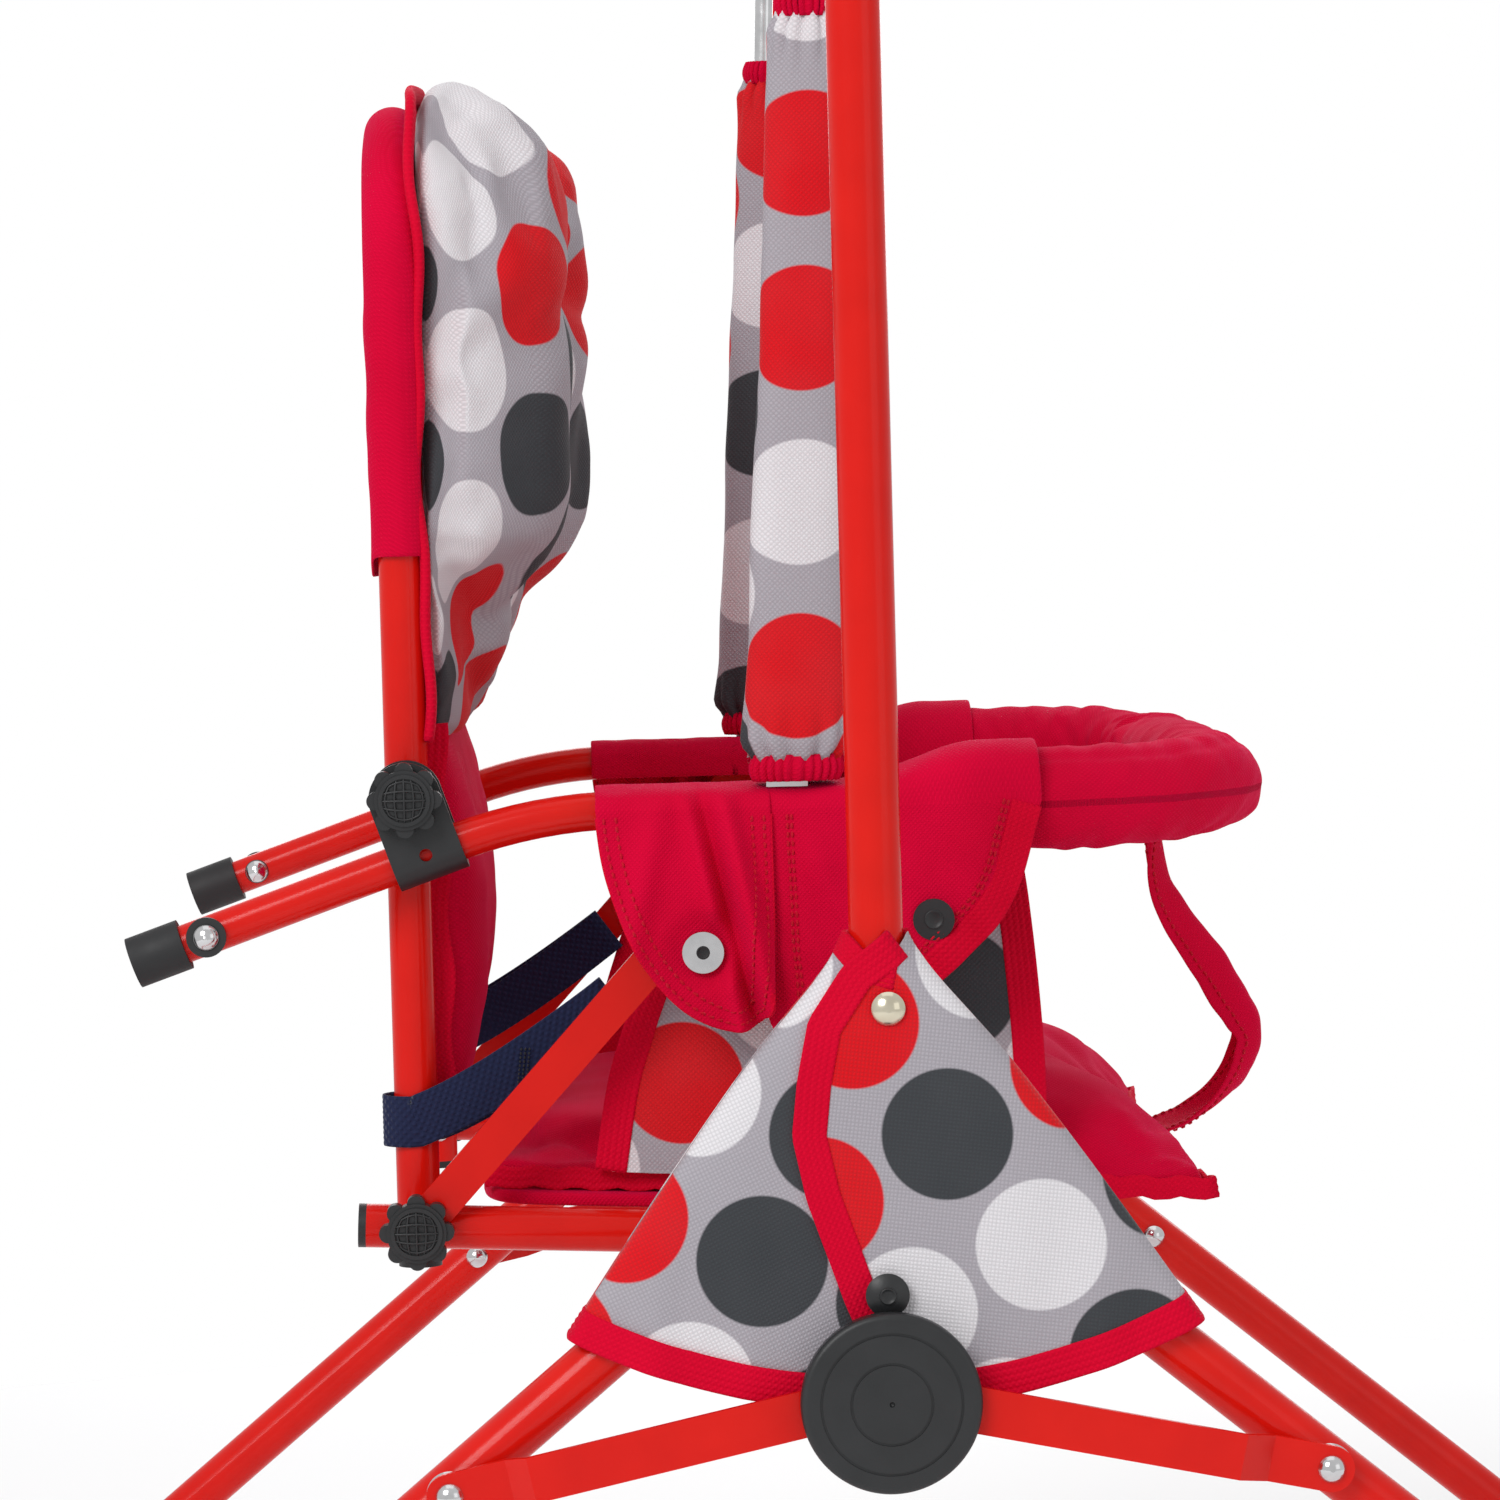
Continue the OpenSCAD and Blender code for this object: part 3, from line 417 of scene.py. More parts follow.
steel = {"roughness": 0.16, "dark": (0.55, 0.55, 0.56), "light": (0.8, 0.8, 0.81)}
tubeRed = paintedTube("tubeRed", {"roughness": 0.18, "dark": (0.60, 0.006, 0.003),
                                  "light": (0.72, 0.010, 0.005)})
platedSteel = plainMetal("platedSteel", steel)
domeMetal = plainMetal("domeMetal", {"roughness": 0.2, "dark": (0.62, 0.56, 0.42),
                                     "light": (0.82, 0.77, 0.62)})
blackPlastic = mouldedPlastic("blackPlastic", {"roughness": 0.42, "grain": 700,
                                               "dark": (0.012, 0.013, 0.014), "light": (0.022, 0.023, 0.025)})
blackRubber = mouldedPlastic("blackRubber", {"roughness": 0.6, "grain": 1400,
                                             "dark": (0.01, 0.011, 0.012), "light": (0.02, 0.02, 0.022)})
boardBrown = mouldedPlastic("boardBrown", {"roughness": 0.7, "grain": 300,
                                           "dark": (0.2, 0.1, 0.045), "light": (0.32, 0.18, 0.09)})
redCloth = wovenCloth("redCloth", {
    "roughness": 0.78, "sheen": 0.25, "sheenTint": (1, 0.04, 0.3), "thread": 0.0009, "bump": 0.7,
    "dark": (0.58, 0.001, 0.026), "light": (0.74, 0.001, 0.046)})
redTape = wovenCloth("redTape", {
    "roughness": 0.7, "sheen": 0.15, "sheenTint": (1, 0.1, 0.25), "thread": 0.0012, "bump": 0.6,
    "dark": (0.60, 0.001, 0.022), "light": (0.76, 0.002, 0.034)})
redThread = wovenCloth("redThread", {
    "roughness": 0.6, "sheen": 0.2, "sheenTint": (1, 0.6, 0.7), "thread": 0.0004, "bump": 0.2,
    "dark": (0.55, 0.006, 0.02), "light": (0.66, 0.012, 0.035)})
navyWeb = wovenCloth("navyWeb", {
    "roughness": 0.7, "sheen": 0.15, "sheenTint": (0.8, 0.85, 1), "thread": 0.0017, "bump": 1.0,
    "dark": (0.012, 0.016, 0.045), "light": (0.025, 0.032, 0.085)})
stopMetal = plainMetal("stopMetal", steel)
dotted = {"roughness": 0.75, "sheen": 0.08, "thread": 0.0010, "bump": 0.6}
skirtDots = dottedCloth("skirtDots", dict(dotted, turn=0.7), (2.79, 0.3, 3.95))
sleeveDots = dottedCloth("sleeveDots", dotted, (1.39, 0.92, 3.39))
panelDots = dottedCloth("panelDots", dotted, (2.18, 1.31, 3.96))
backDots = dottedCloth("backDots", dotted, (3.41, 1.75, 3.12))
finishes = {  # one for each material slot
    "red_tube": tubeRed, "steel": platedSteel, "dome_snap": domeMetal, "black_plastic": blackPlastic,
    "black_rubber": blackRubber, "dotted_fabric": panelDots, "red_fabric": redCloth, "navy_webbing": navyWeb,
    "hardboard": boardBrown,
}
print("materials made")


# camera, light and floor

view = {"place": (-0.108, -2.286, 0.614), "lens": 131.06, "yaw": 1.84, "pitch": 3.01, "roll": 1.5}
studio = {"key": 46, "fill": 4, "rim": 28, "top": 8, "world": 0.68, "backdrop": 1.0, "floor": 1.5}

cameraData = bpy.data.cameras.new("camera")
cameraData.lens = view["lens"]
cameraData.sensor_width = 36
cameraData.clip_end = 60
camera = bpy.data.objects.new("camera", cameraData)
camera.matrix_world = (Matrix.Translation(view["place"]) @ Matrix.Rotation(radians(-view["yaw"]), 4, "Z")
                       @ Matrix.Rotation(radians(90 - view["pitch"]), 4, "X")
                       @ Matrix.Rotation(radians(-view["roll"]), 4, "Z"))
bpy.context.collection.objects.link(camera)
bpy.context.scene.camera = camera


def softLight(name, place, target, size, power):
    lamp = bpy.data.lights.new(name, "AREA")
    lamp.shape = "RECTANGLE"
    lamp.size, lamp.size_y = size
    lamp.energy = power
    made = bpy.data.objects.new(name, lamp)
    made.location = place
    made.rotation_euler = (Vector(target) - Vector(place)).to_track_quat("-Z", "Y").to_euler()
    bpy.context.collection.objects.link(made)


softLight("key", (-1.6, -2.4, 2.2), (0, 0, 0.6), (1.4, 1.4), studio["key"])
softLight("fill", (2.2, -2.2, 1.0), (0, 0, 0.5), (1.6, 1.6), studio["fill"])
softLight("rim", (0.4, 2.6, 1.6), (0, 0, 0.5), (2.6, 1.8), studio["rim"])
softLight("top", (0, 0, 3.2), (0, 0, 0.5), (2.4, 2.4), studio["top"])
bpy.context.scene.view_settings.view_transform = "Standard"
world = bpy.data.worlds.new("studio")
world.use_nodes = True
worldShader = world.node_tree.nodes["Background"]
worldShader.inputs[0].default_value = (1, 1, 1, 1)
seen = node(world.node_tree, "ShaderNodeLightPath").outputs["Is Camera Ray"]
brightness = node(world.node_tree, "ShaderNodeMapRange", seen, 0.0, 1.0, studio["world"], studio["backdrop"])
world.node_tree.links.new(brightness.outputs[0], worldShader.inputs[1])
bpy.context.scene.world = world

floorRows = [[(studio["floor"] * r * cos(2 * pi * k / 72), studio["floor"] * r * sin(2 * pi * k / 72), 0)
              for k in range(72)] for r in (0, 0.25, 0.5, 0.75, 1)]
floorSheet = addGrid("floor", floorRows, ring=True)
floorMaterial, floorTree, floorShader = newMaterial("paleFloor", 0.9)
floorTree.links.new(blendColors(floorTree, noiseAt(floorTree, 0.7), (0.86, 0.86, 0.87), (0.9, 0.9, 0.9)),
                    floorShader.inputs["Base Color"])
floorSheet.data.materials.append(floorMaterial)
print("camera, light and floor set")


# places taken from the frame

sides = {"right": -1, "left": 1}


def middle(nodeName):
    low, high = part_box(nodeName)
    return (low + high) / 2


def jointPlace(jointName):
    return Vector(next(j for j in frame["record"]["behaviour"]["joints"] if j["name"] == jointName)["pos_m"])


swingPivot = jointPlace("swing")
reclinePivot = jointPlace("recline")
tubeRadius = {"post": 0.010, "armrest": 0.0075}
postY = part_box("post_left")[1].y - tubeRadius["post"]
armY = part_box("armrest_tube")[1].y - tubeRadius["armrest"]
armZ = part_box("armrest_tube")[1].z - tubeRadius["armrest"]
hubZ = middle("hub_cap_left").z
print("places taken from the frame")


# cloth laid in an upright plane: a closed outline of (x, z) points filled with rows

def spanAt(outline, z):  # lowest and highest x of the outline at height z
    hits = []
    for (ax, az), (bx, bz) in zip(outline, outline[1:] + outline[:1]):
        if (az - z) * (bz - z) <= 0 and az != bz:
            hits.append(mix(ax, bx, (z - az) / (bz - az)))
    return min(hits), max(hits)


def hangCloth(name, outline, depth, rows, across, topRows=(), zero=(0, 0)):
    # depth(x, z) gives y; topRows are functions of x that give points above the first row
    heights = [p[1] for p in outline]
    top, low = max(heights) - 1e-5, min(heights) + 1e-5
    grid, flat = [], []
    firstSpan = spanAt(outline, top - 0.002)
    for k, over in enumerate(topRows):
        row = [Vector(over(mix(*firstSpan, i / (across - 1)))) for i in range(across)]
        grid.append(row)
        run = 0.004 * (len(topRows) - k)
        flat.append([(p.x - zero[0], top + run - zero[1]) for p in row])
    for k in range(rows):
        share = k / (rows - 1)
        z = mix(top, low, share if share < 0.8 else 0.8 + 0.2 * sin((share - 0.8) / 0.2 * pi / 2))
        left, right = spanAt(outline, z)
        row = []
        for i in range(across):
            x = mix(left, right, i / (across - 1))
            row.append(Vector((x, depth(x, z), z)))
        grid.append(row)
        flat.append([(p.x - zero[0], p.z - zero[1]) for p in row])
    return addGrid(name, grid, flat)


def outlinePath(points, count):  # an open smooth line of (x, z) points
    return [(p.x, p.z) for p in smoothPath([(x, 0, z) for x, z in points], count)]


def onCloth(track, depth, outward, lift=0.0):  # a line on hung cloth, with its outward directions
    places, normals = [], []
    step = 0.0015
    for x, z in track:
        slopeX = (depth(x + step, z) - depth(x - step, z)) / (2 * step)
        slopeZ = (depth(x, z + step) - depth(x, z - step)) / (2 * step)
        normal = Vector((-slopeX, 1, -slopeZ)).normalized() * outward
        if normal.y * outward < 0:
            normal = -normal
        places.append(Vector((x, depth(x, z), z)) + normal * lift)
        normals.append(normal)
    return places, normals


def insetTrack(track, distance):  # a line beside an (x, z) line, to the right of its direction
    moved = []
    for k, (x, z) in enumerate(track):
        before, after = track[max(k - 1, 0)], track[min(k + 1, len(track) - 1)]
        dx, dz = after[0] - before[0], after[1] - before[1]
        size = max(hypot(dx, dz), 1e-9)
        moved.append((x + dz / size * distance, z - dx / size * distance))
    return moved


def tapeAlong(name, places, normals, width, thickness, ribs, folded, closed=False):
    count = len(places)
    across = []
    for k in range(count):
        after = places[(k + 1) % count] if closed or k < count - 1 else places[k]
        before = places[k - 1] if closed or k else places[0]
        across.append((after - before).cross(normals[k]).normalized())
    return sweep(name, places, across, tapeOutline(width, thickness, ribs, folded), closed)


def clothArea(piece):
    return sum(p.area for p in piece.data.polygons)


def declareSheet(area, size):
    share = area / (size[0] * size[1])
    if share > 1:  # the cut is a little larger where the cloth is full
        size = (size[0] * share * 1.001, size[1])


# leg skirts: a flat bell round each post, the outer face in two panels that overlap

skirt = {
    "collarZ": 0.442, "collarR": 0.0117, "middleZ": 0.2690,
    "side": [(0.0117, 0.442), (0.020, 0.4275), (0.048, 0.394), (0.080, 0.350), (0.1165, 0.2965)],
    "depth": 0.0152, "cloth": 0.0008, "overlap": 0.012, "notch": (0.0, 0.0080),
    "slit": [(0.0112, 0.4405), (0.0083, 0.437), (-0.0060, 0.427), (-0.0185, 0.409), (-0.0228, 0.388),
             (-0.025, 0.369), (-0.0205, 0.347), (-0.0075, 0.309), (0.0005, 0.290), (0.006, 0.266)],
    "tape": 0.0125, "collarTape": 0.009, "tapeThick": 0.0009,
    "frontFlat": (0.40, 0.178), "rearFlat": (0.125, 0.178),
    "frontPrint": (0.0234, 0.3687, -12.6, 0), "rearPrint": (-0.0451, 0.3241, 20, 5),
}
skirtSide = smoothPath([(x, 0, z) for x, z in skirt["side"]], 60)


def skirtPoint(side, turn, down, lift=0.0):
    # turn goes round the post in radians: 0 is the front edge, pi / 2 faces outwards, pi the rear edge
    edge = alongPath(skirtSide, down)
    fullness = mix(2.0, 5.0, ease(down / 0.25))
    a = signedPower(cos(turn), 2 / fullness)
    d = signedPower(sin(turn), 2 / fullness)
    x = a * edge.x
    sag = mix(skirt["collarZ"], skirt["middleZ"], down ** 0.92)
    z = edge.z + (sag - edge.z) * (1 - a * a)
    thick = mix(skirt["collarR"], skirt["depth"], ease(down / 0.22))
    away = ease((hypot(x, z - hubZ) - 0.03) / 0.03)
    flute = ripple((x, side * 0.2, z * 0.6), 0.03, 3) * 0.0016 + 0.0012 * sin(x * 190 + side) * down ** 3
    out = thick + lift + max(flute, -0.0006) * away * ease(down / 0.3)
    return Vector((x, side * (postY + d * out), z))


def slitX(z):
    points = skirt["slit"]
    for (ax, az), (bx, bz) in zip(points, points[1:]):
        if az >= z >= bz:
            return mix(ax, bx, (az - z) / (az - bz))
    return points[0][0] if z > points[0][1] else points[-1][0]


def turnAtX(side, x, down):  # the turn on the outer face where the bell is at x
    low, high = 0.0, pi
    for _ in range(26):
        guess = (low + high) / 2
        if skirtPoint(side, guess, down).x > x:
            low = guess
        else:
            high = guess
    return (low + high) / 2


def slitTurn(side, down, beyond=0.0):
    turn = pi / 2
    for _ in range(4):
        turn = turnAtX(side, slitX(skirtPoint(side, turn, down).z) + beyond, down)
    return turn


def startDown(turn):  # the rear panel's top dips forwards, so that the two panels cross at a notch
    if sin(turn) <= 0:
        return 0.0
    notchX, drop = skirt["notch"]
    share = (skirt["collarR"] * cos(turn) + skirt["collarR"]) / (notchX + skirt["collarR"])
    return share * drop / (skirt["collarZ"] - skirt["middleZ"])


def skirtPrint(side, p, rule):  # where a point of a panel lies on the flat printed cloth
    placeX, placeZ, turned, rows = rule
    x = p.x if (p.y - side * postY) * side > 0 else skirt["frontFlat"][0] - p.x
    u, v = x - placeX, p.z - placeZ
    c, s = cos(radians(turned)), sin(radians(turned))
    return u * c + v * s, v * c - u * s + rows * printed["down"]


def makeSkirt(sideName):
    side = sides[sideName]
    rows = 46

    def panel(name, turnsAt, lift):
        grid = []
        for r in range(rows):
            share = r / (rows - 1)
            row = []
            for turn, topTurn in turnsAt(share):
                down = mix(startDown(topTurn), 1.0, share)
                row.append(skirtPoint(side, turn, down, lift(turn)))
            grid.append(row)
        return addGrid(name, grid)

    def frontTurns(share):  # from the slit round the front edge and the inner face to the rear edge
        start = slitTurn(side, share)
        return [(mix(start, -pi * 0.98, k / 95), 0) for k in range(96)]

    def rearTurns(share):  # from the rear edge to just under the other panel
        end = max(slitTurn(side, share, skirt["overlap"] * (1 - share)), 0.6)
        return [(mix(pi * 1.04, end, k / 50), mix(pi * 1.04, 0.6, k / 50)) for k in range(51)]

    front = panel("skirt_front_panel_" + sideName, frontTurns,
                  lambda turn: 0.0006 if sin(turn) > 0.3 else 0.0)
    rear = panel("skirt_rear_panel_" + sideName, rearTurns, lambda turn: -0.0005)
    if side > 0:
        for piece in (front, rear):
            piece.data.flip_normals()
    pieces = []
    for piece, end in ((front, "front"), (rear, "rear")):
        area = clothArea(piece)
        thicken(piece, skirt["cloth"])
        setCloth(piece.data, [skirtPrint(side, v.co, skirt[end + "Print"]) for v in piece.data.vertices])
        dress(piece, "stand", skirtDots, "dotted_fabric")
        declareSheet(area, skirt[end + "Flat"])
        pieces.append(piece)
    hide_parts("skirt_" + sideName)

    def track(places, lift):
        points, normals = [], []
        for turn, down in places:
            p = skirtPoint(side, turn, down, lift)
            u = skirtPoint(side, turn + 0.02, down, lift) - skirtPoint(side, turn - 0.02, down, lift)
            v = skirtPoint(side, turn, min(down + 0.01, 1), lift) - skirtPoint(side, turn, down - 0.01, lift)
            normal = u.cross(v).normalized()
            outward = Vector((p.x * 0.1, p.y - side * postY, 0))
            points.append(p)
            normals.append(normal if normal.dot(outward) > 0 else -normal)
        return points, normals

    hem = [(2 * pi * k / 150, 0.965) for k in range(150)]
    edge = [(slitTurn(side, mix(0.018, 0.96, k / 70), -0.002), mix(0.018, 0.955, k / 70)) for k in range(71)]
    collarTurns = [mix(1.35, 2 * pi - 0.02, k / 70) for k in range(71)]  # open where the edge tape passes
    collar = [(turn, startDown(turn) + 0.022) for turn in collarTurns]
    tapes = []
    for name, places, lift, width, closed in (("hem", hem, 0.0011, skirt["tape"], True),
                                              ("edge", edge, 0.0008, skirt["tape"], False),
                                              ("collar", collar, 0.0004, skirt["collarTape"], False)):
        points, normals = track(places, lift)
        tapes.append(tapeAlong(f"{name}_{sideName}", points, normals, width, skirt["tapeThick"], 5, 0.0026,
                               closed))
    tape = dress(joinPieces("skirt_tape_" + sideName, tapes), "stand", redTape, "red_fabric")
    pieces.append(tape)
    for piece in pieces:
        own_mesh(piece)


for sideName in sides:
    makeSkirt(sideName)
print("skirts made")


# sleeves over the hanger rods, gathered at both ends

sleeve = {
    "low": 0.4995, "high": 0.786, "lowWidth": 0.041, "highWidth": 0.0265,
    "lowDepth": 0.0185, "highDepth": 0.0165, "square": 0.8, "cloth": 0.0009,
    "gather": 0.010, "dotZ": 0.532, "frill": 0.0016, "crimps": 28, "footX": -0.027, "forward": 0.0035,
}
hangerFoot = Vector((sleeve["footX"] + sleeve["forward"], 0, armZ))
hangerTop = Vector((swingPivot.x + sleeve["forward"], 0, swingPivot.z))


def makeSleeve(sideName):
    side = sides[sideName]
    hangY = middle("hanger_" + sideName).y
    around, rows = 72, 110
    grid, flat = [], []
    for r in range(rows):
        share = r / (rows - 1)
        z = mix(sleeve["low"], sleeve["high"], share)
        centre = hangerFoot.lerp(hangerTop, (z - hangerFoot.z) / (hangerTop.z - hangerFoot.z))
        wide = mix(sleeve["lowWidth"], sleeve["highWidth"], share ** 0.8) / 2
        deep = mix(sleeve["lowDepth"], sleeve["highDepth"], share) / 2
        toEnd = min(z - sleeve["low"], sleeve["high"] - z)
        pinch = 1 - 0.26 * (1 - ease(toEnd / 0.010)) ** 2
        row, flatRow = [], []
        for k in range(around):
            turn = 2 * pi * k / around  # 0 faces outwards
            fold = sin(turn * 11 + 1.3 * sin(turn * 2)) * 0.0013 * (1 - ease(toEnd / 0.028))
            place = (centre.x + cos(turn) * 0.02, side * 3 + sin(turn) * 0.02, z * 0.7)
            soft = ripple(place, 0.024, 5) * 0.0011
            x = signedPower(sin(turn), sleeve["square"]) * (wide * pinch + fold + soft)
            y = signedPower(cos(turn), sleeve["square"]) * (deep * pinch + fold + soft)
            row.append(Vector((centre.x + x, hangY + side * y, z)))
        halfWay = around // 2
        steps = [(row[k] - row[k - 1]).length for k in range(1, halfWay + 1)]
        for k in range(around):
            run = sum(steps[:min(k, around - k)])
            flatRow.append((run if k <= halfWay else -run, z - sleeve["dotZ"]))
        grid.append(row)
        flat.append(flatRow)
    tube = addGrid("sleeve_cover_" + sideName, grid, flat, ring=True)
    if side < 0:
        tube.data.flip_normals()
    thicken(tube, sleeve["cloth"], smooth=False, offset=-1)
    dress(tube, "swing", sleeveDots, "dotted_fabric", "sleeve_" + sideName)
    frills = []
    for end, z0, width, depth in (("low", sleeve["low"], sleeve["lowWidth"], sleeve["lowDepth"]),
                                  ("high", sleeve["high"], sleeve["highWidth"], sleeve["highDepth"])):
        away = -1 if end == "low" else 1
        grid = []
        for r in range(9):
            share = r / 8
            z = z0 + away * (share * sleeve["gather"] - 0.002)
            centre = hangerFoot.lerp(hangerTop, (z - hangerFoot.z) / (hangerTop.z - hangerFoot.z))
            swell = sin(pi * share) * sleeve["frill"]
            row = []
            for k in range(168):
                turn = 2 * pi * k / 168
                wave = sin(turn * sleeve["crimps"] + 2.1 * sin(3 * turn) + share * 0.8)
                crimp = sleeve["frill"] * 0.5 * wave * mix(0.8, 1.2, share)
                x = signedPower(sin(turn), sleeve["square"]) * (width * 0.38 + swell + crimp)
                y = signedPower(cos(turn), sleeve["square"]) * (depth * 0.42 + swell + crimp)
                row.append(Vector((centre.x + x, hangY + side * y, z)))
            grid.append(row)
        frill = addGrid(f"{end}_{sideName}", grid, ring=True)
        frills.append(thicken(frill, sleeve["cloth"], smooth=False))
    cuff = joinPieces("sleeve_cuffs_" + sideName, frills)
    dress(cuff, "swing", redCloth, "red_fabric")


for sideName in sides:
    makeSleeve(sideName)
print("sleeves made")


# padded bumper on the front of the armrest

bumper = {"radius": 0.0215, "reach": 0.147, "corner": 0.084, "start": 0.0605, "creases": 0.0028}


def bumperPath(count):
    left = [Vector((bumper["start"], armY, armZ))]
    turnX, turnY = bumper["reach"] - bumper["corner"], armY - bumper["corner"]
    for k in range(13):
        angle = pi / 2 * (1 - k / 12)
        left.append(Vector((turnX + bumper["corner"] * cos(angle),
                            turnY + bumper["corner"] * sin(angle), armZ)))
    path = left + [Vector((p.x, -p.y, p.z)) for p in left[::-1]]
    return [alongPath(path, k / (count - 1)) for k in range(count)]


def makeBumper():
    path = bumperPath(190)
    around = 48
    grid, flat = [], []
    run = 0.0
    for k, place in enumerate(path):
        forward = forwardAt(path, k)
        out = forward.cross(Vector((0, 0, 1))) * -1
        out = out if out.dot(place) > 0 else -out
        share = k / (len(path) - 1)
        bend = bumpAt(share, 0.26, 0.2) + bumpAt(share, 0.74, 0.2)
        toEnd = min(share, 1 - share)
        row, flatRow = [], []
        for i in range(around):
            turn = 2 * pi * i / around
            direction = out * cos(turn) + Vector((0, 0, 1)) * sin(turn)
            inner = 0.5 - 0.5 * cos(turn)
            slack = ripple((run * 1.0, turn * 0.008, 0.4), 0.011, 2) * (0.35 + 0.9 * bend * inner)
            folds = -abs(ripple((run + 0.02 * sin(turn), turn * 0.012, 1.7), 0.016, 8)) ** 0.7
            folds *= 0.5 + inner * bend
            lump = ripple((run * 0.5, sin(turn) * 0.02, cos(turn) * 0.02), 0.03, 6)
            swell = bumper["creases"] * (0.8 * slack + folds * 1.5 + 0.8 * lump)
            seam = -0.0012 * bumpAt(abs((turn + 2.2) % (2 * pi) - pi), 0.0, 0.16)
            flatness = 1 + 0.05 * cos(2 * turn)
            size = bumper["radius"] * flatness * (1 - 0.12 * (1 - ease(toEnd / 0.03))) + swell + seam
            row.append(place + direction * size)
            flatRow.append((turn * bumper["radius"], run))
        grid.append(row)
        flat.append(flatRow)
        run += (path[min(k + 1, len(path) - 1)] - place).length
    pad = addGrid("bumper_cover", grid, flat, ring=True, caps=True)
    roundOff(pad)
    dress(pad, "swing", redCloth, "red_fabric", "bumper_pad")


makeBumper()
print("bumper made")


# cloth sides: dotted panels inside, front and rear flaps laid over the armrest

flap = {
    "cloth": 0.0011, "tape": 0.0115,
    "rearY": 0.1984, "rearTop": 0.4885, "rearFlat": (0.075, 0.125), "rearStitches": (0.0028, 0.0075),
    "frontY": 0.1955, "frontTop": 0.488, "frontFlat": (0.116, 0.130), "frontStitches": (0.0125, 0.0142),
    "rear": [(-0.1015, 0.4885), (-0.0985, 0.462), (-0.0925, 0.441), (-0.0850, 0.4245), (-0.0740, 0.4095),
             (-0.0620, 0.4005), (-0.0480, 0.3965), (-0.0385, 0.4010), (-0.0340, 0.4130), (-0.0335, 0.4885)],
    "front": [(-0.0400, 0.4860), (-0.0380, 0.4200), (-0.0345, 0.3960), (-0.0200, 0.3895), (-0.0020, 0.3935),
              (0.0180, 0.4035), (0.0370, 0.4195), (0.0520, 0.4340), (0.0610, 0.4490), (0.0680, 0.4720),
              (0.0755, 0.4980), (0.0755, 0.5030)],
    "rearFold": 0.0098, "frontFold": 0.0044,
}
sidePanel = {
    "y": 0.1622, "cloth": 0.0011, "bulge": 0.0035, "flat": (0.18, 0.145), "tape": 0.0125, "tapeThick": 0.0011,
    "printX": -0.0696, "printZ": 0.373, "tuck": 0.0165,
    "outline": [(-0.0820, 0.4660), (-0.0825, 0.4220), (-0.0900, 0.3980), (-0.0975, 0.3740), (-0.1040, 0.3380),
                (0.0000, 0.3345), (0.0710, 0.3330), (0.0715, 0.3650), (0.0700, 0.4010), (0.0665, 0.4400),
                (0.0640, 0.4570)],
    "rear": [(-0.0825, 0.4650), (-0.0830, 0.4220), (-0.0900, 0.3980), (-0.0975, 0.3740), (-0.1035, 0.3400)],
    "front": [(0.0640, 0.4590), (0.0665, 0.4400), (0.0700, 0.4010), (0.0715, 0.3650), (0.0705, 0.3350)],
}


